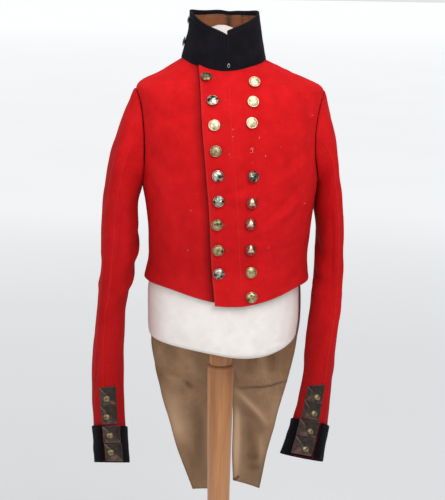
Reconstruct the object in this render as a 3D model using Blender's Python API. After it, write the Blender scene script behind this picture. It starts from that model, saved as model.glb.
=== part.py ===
"""A scarlet double-breasted coatee with long tails, worn by a limbless dress form on a turned pole.

Metres, +Z up, the wearer faces -Y, so +X is the wearer's left.  The origin is the centre of the round
base's underside.  Every cloth panel is a wall worked out from a few section tables: the body of the
coat is one surface torso(angle, level), each sleeve is a loft along its section table, each tail is a
sheet between its front edge and the centre back, and whatever is sewn on a panel uses that panel's own
points moved outward."""

import math

import bmesh
import bpy
import numpy as np
from mathutils import Matrix

# ---------------------------------------------------------------- driving sizes
CLOTH = 0.0020          # scarlet broadcloth with its interfacing
CUFF_CLOTH = 0.0018     # navy facing cloth of the cuffs
COLLAR_CLOTH = 0.0030   # stiffened navy collar
LINING = 0.0010         # twill lining of tails and collar
LACE = 0.0010           # woven metal lace
GAP = 0.0003            # between sewn pieces
SEAM = 0.00016          # half the gap left at a seam between two panels
LAP = CLOTH + 5 * GAP   # how far the lapping front stands off the one under it
BUTTON_R, BUTTON_H = 0.0098, 0.0062
CUFF_BUTTON_R, CUFF_BUTTON_H = 0.0060, 0.0045
COLLAR_BUTTON_R, COLLAR_BUTTON_H = 0.0085, 0.0060
SLEEVE_STEP = CLOTH + GAP          # the sleeve head stands this far off the body at the armhole
SIDE_SEAM = math.radians(16)       # side seam, this far behind the side
ARMHOLE_FRONT = {1: math.radians(27), -1: math.radians(21)}   # reach of each armhole before the side
ARMHOLE_BACK = {1: math.radians(25), -1: math.radians(25)}    # and behind it; 1 is the wearer's left
UNDERLAP_X = 0.024                 # the lower front's hidden edge
POLE_TOP = 0.845
BASE_R, BASE_H = 0.200, 0.030

# The pole tapers downward.
POLE_COLUMNS = ("z", "radius")
POLE = ((0.0303, 0.0190), (0.300, 0.0196), (0.615, 0.0207), (0.825, 0.0242), (0.839, 0.0242), (0.845, 0.0212))

# Levels of the coat body from hem to neck seam.
TORSO_COLUMNS = ("z_side", "half_width", "shift", "y_front", "z_front", "y_back", "z_back", "power", "dip")
TORSO = (
    (1.0095, 0.1470, 0.0085, -0.1180, 0.9805, 0.1040, 1.0020, 2.25, 4.6),   # hem
    (1.0570, 0.1420, 0.0100, -0.1165, 1.0460, 0.0970, 1.0540, 2.25, 3.0),   # waist
    (1.1250, 0.1470, 0.0103, -0.1230, 1.1200, 0.1060, 1.1250, 2.30, 2.0),   # ribs
    (1.1880, 0.1550, 0.0100, -0.1270, 1.1950, 0.1150, 1.2000, 2.35, 2.0),   # underarm
    (1.2680, 0.1590, 0.0092, -0.1170, 1.2750, 0.1190, 1.2850, 2.40, 2.0),   # mid armhole
    (1.3440, 0.1640, 0.0085, -0.0950, 1.3350, 0.1080, 1.3600, 2.40, 2.0),   # shoulder point
    (1.3735, 0.1160, 0.0030, -0.0820, 1.3620, 0.0860, 1.3980, 2.20, 2.0),   # mid shoulder
    (1.3970, 0.0727, -0.0035, -0.0740, 1.3780, 0.0600, 1.4140, 2.00, 2.0),  # neck seam
)
UNDERARM, SHOULDER, NECK = 3.0, 5.0, 7.0

# Lapping edge of the wearer's left front, seen from the front.
EDGE_COLUMNS = ("z", "x")
EDGE = (
    (0.980, -0.0190),
    (1.050, -0.0255),
    (1.140, -0.0310),
    (1.220, -0.0383),
    (1.300, -0.0450),
    (1.378, -0.0480),
)

# Collar from its seam to its top edge, as shares of its height.
COLLAR_COLUMNS = ("share", "half_width", "shift", "y_front", "y_back")
COLLAR = (
    (0.00, 0.0735, -0.0035, -0.0750, 0.0610),
    (0.20, 0.0705, -0.0035, -0.0730, 0.0600),
    (0.55, 0.0650, -0.0030, -0.0690, 0.0585),
    (1.00, 0.0612, -0.0025, -0.0640, 0.0590),
)
COLLAR_TOP_BACK, COLLAR_TOP_FRONT = 1.4795, 1.4400
COLLAR_OPEN_X = 0.0012   # half the gap between the collar's front ends

# Sleeves from just below the armhole to the cuff's edge: outermost and innermost points seen from the
# front, the middle of the depth, half the depth, where the front seam runs (share from the outside), and
# how steeply each ring rises to the front.
SLEEVE_COLUMNS = ("z_outer", "x_outer", "z_inner", "x_inner", "y_mid", "half_depth", "seam_share", "lean")
SLEEVE_RIGHT = (
    (1.3000, -0.1790, 1.1700, -0.1510, 0.0060, 0.0660, 0.34, 0.00),
    (1.2250, -0.2010, 1.1420, -0.1520, 0.0060, 0.0740, 0.38, 0.00),
    (1.1250, -0.2155, 1.0880, -0.1510, 0.0070, 0.0740, 0.38, 0.00),
    (1.0250, -0.2190, 1.0150, -0.1590, 0.0060, 0.0690, 0.36, 0.04),
    (0.9350, -0.2260, 0.9400, -0.1745, 0.0020, 0.0640, 0.36, 0.12),
    (0.8480, -0.2335, 0.8550, -0.1760, -0.0090, 0.0580, 0.38, 0.22),
    (0.7880, -0.2325, 0.7940, -0.1755, -0.0220, 0.0530, 0.40, 0.30),
    (0.7330, -0.2285, 0.7370, -0.1730, -0.0370, 0.0480, 0.42, 0.36),
    (0.6790, -0.2262, 0.6775, -0.1670, -0.0540, 0.0470, 0.44, 0.36),
)
SLEEVE_LEFT = (
    (1.3000, 0.1890, 1.1700, 0.1640, 0.0060, 0.0660, 0.30, 0.00),
    (1.2250, 0.2020, 1.1420, 0.1625, 0.0060, 0.0740, 0.32, 0.00),
    (1.1250, 0.2115, 1.0880, 0.1710, 0.0070, 0.0740, 0.34, 0.00),
    (1.0250, 0.2165, 1.0150, 0.1680, 0.0060, 0.0690, 0.36, 0.04),
    (0.9350, 0.2140, 0.9450, 0.1610, 0.0020, 0.0640, 0.36, 0.12),
    (0.8480, 0.2045, 0.8600, 0.1540, -0.0090, 0.0580, 0.40, 0.22),
    (0.7880, 0.1985, 0.8020, 0.1440, -0.0220, 0.0530, 0.42, 0.30),
    (0.7330, 0.1930, 0.7480, 0.1295, -0.0370, 0.0490, 0.44, 0.36),
    (0.6770, 0.1825, 0.6925, 0.1110, -0.0540, 0.0480, 0.46, 0.36),
)
CUFF_START = {1: 6.93, -1: 6.875}   # row of the sleeve table where each cuff's upper edge lies on its outer side
CUFF_FALL = {1: 0.0, -1: 0.10}      # rows by which it lies lower on the inner side
SLEEVE_END = 8.0

# Lace loops and small buttons down each sleeve end.  at: sleeve row of the loop's middle; span: half its
# length along the sleeve; turn: degrees from the outermost line round to the front; reach: half its width.
LACE_COLUMNS = ("at", "span", "turn", "reach", "button_at", "button_turn")
LACE_RIGHT = (
    (5.99, 0.270, 100.0, 27.0, 6.07, 97.0),
    (6.59, 0.285, 100.0, 27.0, 6.65, 93.0),
    (7.19, 0.235, 103.0, 26.0, 7.22, 97.0),
    (7.72, 0.240, 105.0, 26.0, 7.72, 96.0),
)
LACE_LEFT = (
    (6.02, 0.270, 110.0, 27.0, 6.14, 101.0),
    (6.60, 0.285, 109.0, 27.0, 6.69, 100.0),
    (7.17, 0.235, 107.0, 26.0, 7.25, 99.0),
    (7.70, 0.240, 106.0, 26.0, 7.78, 100.0),
)

# Front buttons: x and z seen from the front.
BUTTON_COLUMNS = ("x", "z")
EDGE_BUTTONS = (
    (-0.0375, 1.3670), (-0.0275, 1.3297), (-0.0250, 1.2900), (-0.0225, 1.2482), (-0.0190, 1.2077),
    (-0.0165, 1.1648), (-0.0185, 1.1244), (-0.0153, 1.0801), (-0.0138, 1.0381),
)
FAR_BUTTONS = (
    (0.0432, 1.3597), (0.0403, 1.3283), (0.0375, 1.2942), (0.0404, 1.2063), (0.0390, 1.1618),
    (0.0374, 1.1256), (0.0388, 1.0806), (0.0407, 1.0403), (0.0425, 0.9967),
)

# Tails from the waist seam down: front edge (x, y), centre-back edge (x, y) and how far the middle
# of the sheet stands behind the straight line between them.
TAIL_COLUMNS = ("z_edge", "x_edge", "y_edge", "z_back", "x_back", "y_back", "belly")
TAIL_RIGHT = (
    (0.9980, -0.1200, 0.0480, 0.9940, 0.0075, 0.1040, 0.0430),
    (0.9300, -0.1240, 0.0680, 0.9300, 0.0070, 0.1110, 0.0370),
    (0.8650, -0.1255, 0.0900, 0.8650, 0.0060, 0.1160, 0.0280),
    (0.7900, -0.1130, 0.1070, 0.7900, 0.0050, 0.1200, 0.0180),
    (0.7100, -0.0935, 0.1170, 0.7100, 0.0040, 0.1230, 0.0110),
    (0.6300, -0.0695, 0.1210, 0.6300, 0.0030, 0.1240, 0.0060),
    (0.5600, -0.0435, 0.1210, 0.5600, 0.0020, 0.1240, 0.0030),
)
TAIL_LEFT = (
    (0.9990, 0.1475, 0.0400, 0.9940, 0.0105, 0.1040, 0.0430),
    (0.9300, 0.1535, 0.0620, 0.9300, 0.0150, 0.1110, 0.0370),
    (0.8650, 0.1510, 0.0860, 0.8650, 0.0220, 0.1160, 0.0280),
    (0.7900, 0.1390, 0.1060, 0.7900, 0.0300, 0.1200, 0.0180),
    (0.7100, 0.1210, 0.1170, 0.7150, 0.0330, 0.1230, 0.0110),
    (0.6300, 0.1015, 0.1210, 0.6400, 0.0330, 0.1240, 0.0060),
    (0.5600, 0.0885, 0.1210, 0.5770, 0.0360, 0.1240, 0.0030),
)

# Dress form from its underside to the top of the neck.
FORM_COLUMNS = ("z", "half_width", "shift", "y_front", "y_back", "power")
FORM = (
    (0.8850, 0.1200, 0.0020, -0.0980, 0.0860, 2.2),
    (0.8920, 0.1325, 0.0022, -0.1090, 0.0970, 2.2),
    (0.9300, 0.1355, 0.0025, -0.1110, 0.0985, 2.2),
    (0.9830, 0.1360, 0.0028, -0.1090, 0.0950, 2.2),
    (1.0560, 0.1290, 0.0040, -0.1060, 0.0880, 2.2),
    (1.1250, 0.1360, 0.0060, -0.1120, 0.0970, 2.25),
    (1.1950, 0.1440, 0.0080, -0.1160, 0.1050, 2.3),
    (1.2700, 0.1460, 0.0080, -0.1050, 0.1080, 2.3),
    (1.3200, 0.1340, 0.0070, -0.0860, 0.0980, 2.2),
    (1.3540, 0.0960, 0.0040, -0.0660, 0.0800, 2.1),
    (1.3720, 0.0620, 0.0000, -0.0560, 0.0600, 2.0),
    (1.4000, 0.0500, -0.0030, -0.0500, 0.0460, 2.0),
    (1.4300, 0.0440, -0.0040, -0.0440, 0.0400, 2.0),
    (1.4480, 0.0300, -0.0045, -0.0300, 0.0270, 2.0),
    (1.4560, 0.0120, -0.0045, -0.0120, 0.0110, 2.0),
)


# ---------------------------------------------------------------- working out shapes
def column(table, names, name):
    return np.array([row[names.index(name)] for row in table], float)


def slopes(x, y):
    """Slopes of a smooth curve through rising x that doesn't overshoot its points."""
    h, d = np.diff(x), np.diff(y) / np.diff(x)
    m = np.empty_like(y)
    m[0], m[-1] = d[0], d[-1]
    for i in range(1, len(y) - 1):
        if d[i - 1] * d[i] <= 0:
            m[i] = 0.0
        else:
            a, b = 2 * h[i] + h[i - 1], h[i] + 2 * h[i - 1]
            m[i] = (a + b) / (a / d[i - 1] + b / d[i])
    return m


def through(x, y, at):
    """A smooth curve through the points (x, y), read at the places at."""
    x, y, at = np.asarray(x, float), np.asarray(y, float), np.asarray(at, float)
    if x[0] > x[-1]:
        x, y = x[::-1], y[::-1]
    m = slopes(x, y)
    at = np.clip(at, x[0], x[-1])
    i = np.clip(np.searchsorted(x, at) - 1, 0, len(x) - 2)
    h = x[i + 1] - x[i]
    t = (at - x[i]) / h
    return (
        (1 + 2 * t) * (1 - t) ** 2 * y[i] + t * (1 - t) ** 2 * h * m[i]
        + t * t * (3 - 2 * t) * y[i + 1] + t * t * (t - 1) * h * m[i + 1]
    )


def by_row(table, names, name, row):
    """A column of a table, read at a row number that need not be whole."""
    y = column(table, names, name)
    return through(np.arange(len(y)), y, row)


def power_round(angle, power):
    """Cosine and sine of a rounded oblong: power 2 is an ellipse."""
    c, s = np.cos(angle), np.sin(angle)
    return np.sign(c) * np.abs(c) ** (2 / power), np.sign(s) * np.abs(s) ** (2 / power)


def ease(a, b, x):
    t = np.clip((x - a) / (b - a), 0, 1)
    return t * t * (3 - 2 * t)


def torso(angle, row):
    """The coat body: angle 0 at the wearer's left side, -90 degrees in front; row from hem 0 to neck 7."""
    angle, row = np.broadcast_arrays(np.asarray(angle, float), np.asarray(row, float))
    at = {n: by_row(TORSO, TORSO_COLUMNS, n, row) for n in TORSO_COLUMNS}
    c, s = power_round(angle, at["power"])
    front = np.sin(angle) < 0
    x = at["shift"] + at["half_width"] * c
    y = np.where(front, -at["y_front"], at["y_back"]) * s
    lift = np.where(front, at["z_front"], at["z_back"]) - at["z_side"]
    return np.stack([x, y, at["z_side"] + lift * np.abs(np.sin(angle)) ** at["dip"]], -1)


def front_angle(x, row):
    """The angle in front at which the coat body has this x."""
    c = (x - by_row(TORSO, TORSO_COLUMNS, "shift", row)) / by_row(TORSO, TORSO_COLUMNS, "half_width", row)
    p = by_row(TORSO, TORSO_COLUMNS, "power", row)
    return -np.arccos(np.clip(np.sign(c) * np.abs(c) ** (p / 2), -1, 1))


def front_row(z):
    """The level at which the middle of the front has this z."""
    return through(column(TORSO, TORSO_COLUMNS, "z_front"), np.arange(len(TORSO)), z)


def armhole(row):
    """Share of the armhole's half-width at a level: 0 at its foot and head, 1 midway."""
    mid, half = (UNDERARM + SHOULDER) / 2, (SHOULDER - UNDERARM) / 2
    return np.sqrt(np.clip(1 - ((row - mid) / half) ** 2, 0, 1))


def armhole_foot(row):
    """The side seam leans from its own line to the armhole's foot."""
    return SIDE_SEAM * (1 - ease(UNDERARM - 1.2, UNDERARM, row))


def outward(points, closed=False):
    """Unit normals of a grid of points; their sense is put right by the caller."""
    if closed:
        du = np.roll(points, -1, 0) - np.roll(points, 1, 0)
    else:
        du = np.gradient(points, axis=0)
    n = np.cross(du, np.gradient(points, axis=1))
    return n / np.maximum(np.linalg.norm(n, axis=-1, keepdims=True), 1e-12)


def wall(outer, inner, closed=False):
    """Vertices and faces of a closed wall between two grids of the same size."""
    nu, nv = outer.shape[:2]
    verts = np.concatenate([outer.reshape(-1, 3), inner.reshape(-1, 3)])
    faces, half = [], nu * nv

    def at(i, j, side):
        return (i % nu) * nv + j + side * half

    for i in range(nu if closed else nu - 1):
        for j in range(nv - 1):
            faces.append((at(i, j, 0), at(i + 1, j, 0), at(i + 1, j + 1, 0), at(i, j + 1, 0)))
            faces.append((at(i, j, 1), at(i, j + 1, 1), at(i + 1, j + 1, 1), at(i + 1, j, 1)))
        faces.append((at(i, 0, 1), at(i + 1, 0, 1), at(i + 1, 0, 0), at(i, 0, 0)))
        faces.append((at(i, nv - 1, 0), at(i + 1, nv - 1, 0), at(i + 1, nv - 1, 1), at(i, nv - 1, 1)))
    if not closed:
        for j in range(nv - 1):
            faces.append((at(0, j, 0), at(0, j + 1, 0), at(0, j + 1, 1), at(0, j, 1)))
            faces.append((at(nu - 1, j, 1), at(nu - 1, j + 1, 1), at(nu - 1, j + 1, 0), at(nu - 1, j, 0)))
    return verts, faces


# ---------------------------------------------------------------- Blender objects
for old in list(bpy.data.objects):
    bpy.data.objects.remove(old)

MATERIALS = {}
FINISH_COLUMNS = ("red", "green", "blue", "roughness", "metallic")
FINISHES = {
    "scarlet_cloth": (0.62, 0.012, 0.016, 0.90, 0.0),
    "navy_cloth": (0.010, 0.010, 0.016, 0.90, 0.0),
    "tan_lining": (0.36, 0.23, 0.13, 0.75, 0.0),
    "brown_lining": (0.24, 0.10, 0.045, 0.65, 0.0),
    "tarnished_lace": (0.16, 0.12, 0.10, 0.50, 0.6),
    "gilt_brass": (0.75, 0.56, 0.26, 0.25, 1.0),
    "dark_horn": (0.012, 0.012, 0.016, 0.45, 0.0),
    "cream_jersey": (0.84, 0.79, 0.74, 0.90, 0.0),
    "varnished_wood": (0.47, 0.21, 0.085, 0.40, 0.0),
}


def material(name):
    if name not in MATERIALS:
        finish = dict(zip(FINISH_COLUMNS, FINISHES[name]))
        made = bpy.data.materials.new(name)
        made.use_nodes = True
        shader = made.node_tree.nodes["Principled BSDF"]
        shader.inputs["Base Color"].default_value = (finish["red"], finish["green"], finish["blue"], 1)
        shader.inputs["Roughness"].default_value = finish["roughness"]
        shader.inputs["Metallic"].default_value = finish["metallic"]
        MATERIALS[name] = made
    return MATERIALS[name]


figure = bpy.data.objects.new("figure", None)
bpy.context.scene.collection.objects.link(figure)


def add(name, verts, faces, finish, place=None):
    mesh = bpy.data.meshes.new(name)
    mesh.from_pydata([tuple(v) for v in verts], [], [tuple(int(i) for i in f) for f in faces])
    shape = bmesh.new()
    shape.from_mesh(mesh)
    bmesh.ops.recalc_face_normals(shape, faces=shape.faces)
    if shape.calc_volume(signed=True) < 0:
        bmesh.ops.reverse_faces(shape, faces=shape.faces)
    shape.to_mesh(mesh)
    shape.free()
    mesh.shade_smooth()
    mesh.set_sharp_from_angle(angle=math.radians(35))
    mesh.materials.append(material(finish))
    made = bpy.data.objects.new(name, mesh)
    bpy.context.scene.collection.objects.link(made)
    made.parent = figure
    if place is not None:
        made.matrix_world = place
    return made


def turned(profile, sides):
    """Vertices and faces of a solid turned about Z from (radius, z) pairs, first and last on the axis."""
    verts, faces = [(0, 0, profile[0][1])], []
    rings = profile[1:-1]
    for r, z in rings:
        verts += [(r * math.cos(2 * math.pi * k / sides), r * math.sin(2 * math.pi * k / sides), z) for k in range(sides)]
    verts.append((0, 0, profile[-1][1]))
    last = len(verts) - 1
    for k in range(sides):
        n = (k + 1) % sides
        faces.append((0, 1 + n, 1 + k))
        for j in range(len(rings) - 1):
            a, b = 1 + j * sides, 1 + (j + 1) * sides
            faces.append((a + k, a + n, b + n, b + k))
        a = 1 + (len(rings) - 1) * sides
        faces.append((a + k, a + n, last))
    return verts, faces


# ---------------------------------------------------------------- coat body
# Levels shared by every body panel, closer together where the armhole turns.
LEVELS = np.array([0, 0.5, 1.0, 1.5, 2.0, 2.5, 3.0, 3.08, 3.3, 3.65, 4.0, 4.35, 4.7, 4.92, 5.0, 5.5, 6.0, 6.5, 7.0])


def seam_step(row):
    """Half a seam's gap as an angle."""
    return SEAM / np.maximum(by_row(TORSO, TORSO_COLUMNS, "half_width", row), 0.06)


def side_edge(row, reach, side):
    """Panel edge by the side: side seam, then armhole, then shoulder seam; side is -1 before it, 1 behind."""
    return armhole_foot(row) + side * (reach * armhole(row) + seam_step(row))


def front_panel(wearer_left):
    """Angles of one front from its side edge to its front edge, mirrored for the wearer's right."""
    z_mid = by_row(TORSO, TORSO_COLUMNS, "z_front", LEVELS)
    start = side_edge(LEVELS, ARMHOLE_FRONT[1 if wearer_left else -1], -1)
    if wearer_left:
        x_edge = through(column(EDGE, EDGE_COLUMNS, "z"), column(EDGE, EDGE_COLUMNS, "x"), z_mid)
        return start, front_angle(x_edge, LEVELS)
    start = -math.pi - start
    x_edge = np.minimum(UNDERLAP_X, 0.8 * by_row(TORSO, TORSO_COLUMNS, "half_width", LEVELS))
    return start, front_angle(x_edge, LEVELS)


def body_grid(start, end, columns):
    u = np.linspace(0, 1, columns)[:, None]
    angle = start[None] * (1 - u) + end[None] * u
    return angle, torso(angle, LEVELS[None])


def lifted(points, out, by):
    return points + out * by


def torso_out(angle, row):
    """Outward unit normals of the coat body, from its own slopes."""
    h = 1e-3
    du = torso(angle + h, row) - torso(angle - h, row)
    dv = torso(angle, row + 4 * h) - torso(angle, row - 4 * h)
    n = np.cross(du, dv)
    return n / np.maximum(np.linalg.norm(n, axis=-1, keepdims=True), 1e-12)


def add_front(name, wearer_left):
    start, end = front_panel(wearer_left)
    angle, points = body_grid(start, end, 11)
    out = torso_out(angle, LEVELS[None])
    raise_by = np.zeros(angle.shape)
    if wearer_left:
        raise_by = LAP * ease(math.radians(-38), math.radians(-60), angle)
    outer = lifted(points, out, raise_by[..., None])
    add(name, *wall(outer, outer - out * CLOTH), "scarlet_cloth")


def add_back(name, wearer_left):
    start = side_edge(LEVELS, ARMHOLE_BACK[1 if wearer_left else -1], 1)
    end = math.pi / 2 - seam_step(LEVELS)
    if not wearer_left:
        start, end = math.pi - start, math.pi - end
    angle, points = body_grid(start, end, 8)
    out = torso_out(angle, LEVELS[None])
    add(name, *wall(points, points - out * CLOTH), "scarlet_cloth")


add_front("front_left", True)
add_front("front_right", False)
add_back("back_left", True)
add_back("back_right", False)


# ---------------------------------------------------------------- sleeves
def armhole_ring(turn, sign):
    """The armhole as a closed curve on the body: turn 0 at the shoulder, 90 degrees in front, 180 at its foot."""
    mid, half = (UNDERARM + SHOULDER) / 2, (SHOULDER - UNDERARM) / 2
    row = mid + half * np.cos(turn)
    reach = np.where(np.sin(turn) > 0, ARMHOLE_FRONT[sign], ARMHOLE_BACK[sign])
    angle = armhole_foot(row) - reach * np.sin(turn)
    angle = angle if sign > 0 else math.pi - angle
    return torso(angle, row) + torso_out(angle, row) * SLEEVE_STEP


def sleeve(turn, row, sign):
    """A sleeve's surface: turn as in armhole_ring; row -1 at the armhole, 0 to 8 along its table."""
    table = SLEEVE_LEFT if sign > 0 else SLEEVE_RIGHT
    turn, row = np.broadcast_arrays(np.asarray(turn, float), np.asarray(row, float))
    at = {n: by_row(table, SLEEVE_COLUMNS, n, np.maximum(row, 0)) for n in SLEEVE_COLUMNS}
    c, s = np.cos(turn), np.sin(turn)
    x_mid, z_mid = (at["x_outer"] + at["x_inner"]) / 2, (at["z_outer"] + at["z_inner"]) / 2
    x_seam = at["x_outer"] + (at["x_inner"] - at["x_outer"]) * at["seam_share"]
    x = x_mid + (at["x_outer"] - at["x_inner"]) / 2 * c + (x_seam - x_mid) * np.where(s > 0, s ** 3, 0)
    y = at["y_mid"] - at["half_depth"] * s
    z = z_mid + (at["z_outer"] - at["z_inner"]) / 2 * c + at["lean"] * at["half_depth"] * s
    ring = np.stack([x, y, z], -1)
    head = armhole_ring(turn, sign)
    w = ease(-1.0, 0.35, row)[..., None]
    return head * (1 - w) + ring * w


SLEEVE_ROWS = np.array([-0.985, -0.75, -0.5, -0.25, 0.0, 0.3, 0.6, 1.0, 1.5, 2.0, 2.6, 3.2, 3.8, 4.4, 5.0, 5.6, 6.2, 7.0, 7.5, 8.0])
FRONT_SEAM, BACK_SEAM = math.radians(90), math.radians(270)
SEAM_TURN = math.radians(0.65)


def sleeve_out(turn, row, sign):
    """Outward unit normals of a sleeve, from its own slopes."""
    h = 1e-3
    du = sleeve(turn + h, row, sign) - sleeve(turn - h, row, sign)
    dv = sleeve(turn, np.minimum(row + h * 4, SLEEVE_END), sign) - sleeve(turn, row - h * 4, sign)
    n = np.cross(du, dv)
    n /= np.maximum(np.linalg.norm(n, axis=-1, keepdims=True), 1e-12)
    return n * sign


# Each cut of the right sleeve is three lengths end to end, a hair apart, so that the bent hollow inside it stays
# open; the cloth itself is one cut from armhole to wrist.
SLEEVE_BREAKS = {1: (), -1: (2.3, 5.3)}
HALF_BREAK = 0.0025


def add_sleeve(name, sign, start, end, columns):
    ends = (SLEEVE_ROWS[0] - HALF_BREAK,) + SLEEVE_BREAKS[sign] + (SLEEVE_ROWS[-1] + HALF_BREAK,)
    for number, (low, high) in enumerate(zip(ends[:-1], ends[1:]), 1):
        low, high = low + HALF_BREAK, high - HALF_BREAK
        between = SLEEVE_ROWS[(SLEEVE_ROWS > low + 0.05) & (SLEEVE_ROWS < high - 0.05)]
        turn = np.linspace(start, end, columns)[:, None]
        turn, row = np.broadcast_arrays(turn, np.concatenate([[low], between, [high]])[None])
        points, out = sleeve(turn, row, sign), sleeve_out(turn, row, sign)
        add(f"{name}_{number}" if SLEEVE_BREAKS[sign] else name, *wall(points, points - out * CLOTH), "scarlet_cloth")


for side, sign in (("left", 1), ("right", -1)):
    add_sleeve(f"sleeve_top_{side}", sign, BACK_SEAM - 2 * math.pi + SEAM_TURN, FRONT_SEAM - SEAM_TURN, 10)
    add_sleeve(f"sleeve_under_{side}", sign, FRONT_SEAM + SEAM_TURN, BACK_SEAM - SEAM_TURN, 8)


# ---------------------------------------------------------------- cuffs, lace and small buttons
CUFF_SLIT = {1: math.radians(75), -1: math.radians(72)}   # the cuff's opening, beside the lace
CUFF_SLIT_HALF = math.radians(3)
for side, sign in (("left", 1), ("right", -1)):
    slit = CUFF_SLIT[sign]
    turn = np.linspace(slit + CUFF_SLIT_HALF, slit + 2 * math.pi - CUFF_SLIT_HALF, 24)[:, None]
    start = CUFF_START[sign] + CUFF_FALL[sign] * (1 - np.cos(turn)) / 2
    row = start + (SLEEVE_END - start) * np.array([0.0, 0.5, 1.0])[None]
    turn = np.broadcast_to(turn, row.shape)
    points, out = sleeve(turn, row, sign), sleeve_out(turn, row, sign)
    inner = points + out * 2 * GAP
    add(f"cuff_{side}", *wall(inner + out * CUFF_CLOTH, inner), "navy_cloth")


def button_solid(radius, height, sides):
    """A domed button with a rolled rim and a short shank, standing on z = 0."""
    return turned(
        (
            (0, 0.0), (0.42 * radius, 0.0), (0.42 * radius, 0.30 * height), (0.93 * radius, 0.34 * height),
            (radius, 0.50 * height), (0.90 * radius, 0.66 * height), (0.55 * radius, 0.90 * height), (0, height),
        ),
        sides,
    )


def upright(point, out):
    """A place whose Z is the surface's outward direction."""
    z = np.asarray(out) / np.linalg.norm(out)
    x = np.cross((0, 0, 1.0), z)
    x /= np.linalg.norm(x)
    y = np.cross(z, x)
    return Matrix(
        (
            (x[0], y[0], z[0], point[0]), (x[1], y[1], z[1], point[1]),
            (x[2], y[2], z[2], point[2]), (0, 0, 0, 1),
        )
    )


for side, sign, table in (("left", 1, LACE_LEFT), ("right", -1, LACE_RIGHT)):
    for number, values in enumerate(table, 1):
        loop = dict(zip(LACE_COLUMNS, values))
        on_cuff = loop["at"] > CUFF_START[sign]
        turn = np.radians(np.linspace(loop["turn"] - loop["reach"], loop["turn"] + loop["reach"], 5))[:, None]
        row = np.linspace(loop["at"] - loop["span"], loop["at"] + loop["span"], 3)[None]
        turn, row = np.broadcast_arrays(turn, row)
        points, out = sleeve(turn, row, sign), sleeve_out(turn, row, sign)
        skin = (CUFF_CLOTH + 2 * GAP if on_cuff else 0.0) + 3 * GAP
        inner = points + out * skin
        add(f"lace_{side}_{number}", *wall(inner + out * LACE, inner), "tarnished_lace")
        turn, row = np.radians(loop["button_turn"]), loop["button_at"]
        point, out = sleeve(turn, row, sign), sleeve_out(turn, row, sign)
        foot = point + out * (skin + LACE + 3 * GAP)
        add(f"cuff_button_{side}_{number}", *button_solid(CUFF_BUTTON_R, CUFF_BUTTON_H, 10), "gilt_brass", upright(foot, out))


# ---------------------------------------------------------------- front buttons
def front_place(x, z):
    """Row of the coat body at which the front has this x and z."""
    row = front_row(np.array(z))
    for _ in range(30):
        p = torso(front_angle(x, row), row)
        row = row + (z - p[2]) / 0.075
    return front_angle(x, row), row


for kind, table in (("edge", EDGE_BUTTONS), ("far", FAR_BUTTONS)):
    for number, values in enumerate(table, 1):
        at = dict(zip(BUTTON_COLUMNS, values))
        angle, row = front_place(at["x"], at["z"])
        out = torso_out(angle, row)
        foot = torso(angle, row) + out * (LAP + 3 * GAP)
        add(f"button_{kind}_{number}", *button_solid(BUTTON_R, BUTTON_H, 12), "gilt_brass", upright(foot, out))


# ---------------------------------------------------------------- collar
def collar_top(c, s):
    """Height of the collar's upper edge: level at the back, falling straight to the front opening."""
    fall = (COLLAR_TOP_BACK - COLLAR_TOP_FRONT) * (1 - np.abs(c)) ** 1.0
    return COLLAR_TOP_BACK - np.where(s < 0, fall, 0)


def collar(angle, share):
    """The collar's outer face: angle as for the body; share 0 at its seam, 1 at its upper edge."""
    angle, share = np.broadcast_arrays(np.asarray(angle, float), np.asarray(share, float))
    at = {
        n: through(column(COLLAR, COLLAR_COLUMNS, "share"), column(COLLAR, COLLAR_COLUMNS, n), share)
        for n in COLLAR_COLUMNS[1:]
    }
    c, s = np.cos(angle), np.sin(angle)
    foot = torso(angle, NECK)[..., 2] + 0.0022
    z = foot + (collar_top(c, s) - foot) * share
    return np.stack([at["shift"] + at["half_width"] * c, np.where(s < 0, -at["y_front"], at["y_back"]) * s, z], -1)


def collar_wall(outer_skin, thickness, share_from, share_to, opening, columns):
    turn = opening / 0.07
    angle = np.linspace(-math.pi / 2 + turn, 1.5 * math.pi - turn, columns)[:, None]
    share = np.linspace(share_from, share_to, 4)[None]
    points = collar(angle, share)
    out = outward(points)
    flat = points - np.array([-0.003, 0.0, 0.0])
    flat[..., 2] = 0
    out = out * np.sign((out * flat).sum(-1).mean())
    outer = points + out * outer_skin
    return wall(outer, outer - out * thickness)


add("collar", *collar_wall(0.0, COLLAR_CLOTH, 0.0, 1.0, COLLAR_OPEN_X, 29), "navy_cloth")
add("collar_lining", *collar_wall(-COLLAR_CLOTH - GAP, LINING, 0.04, 0.92, COLLAR_OPEN_X, 29), "brown_lining")

COLLAR_BUTTON_COLUMNS = ("degrees", "share", "scale")
COLLAR_BUTTONS = ((184.0, 0.80, 0.75), (183.0, 0.34, 1.0))
for number, values in enumerate(COLLAR_BUTTONS, 1):
    at = dict(zip(COLLAR_BUTTON_COLUMNS, values))
    angle = math.radians(at["degrees"])
    p = collar(angle, at["share"])
    h = 1e-3
    out = np.cross(collar(angle + h, at["share"]) - collar(angle - h, at["share"]), collar(angle, at["share"] + h) - collar(angle, at["share"] - h))
    out = out / np.linalg.norm(out)
    out = out if out[0] < 0 else -out
    add(
        f"collar_button_{number}",
        *button_solid(COLLAR_BUTTON_R * at["scale"], COLLAR_BUTTON_H * at["scale"], 12),
        "dark_horn", upright(p + out * 3 * GAP, out),
    )


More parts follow.
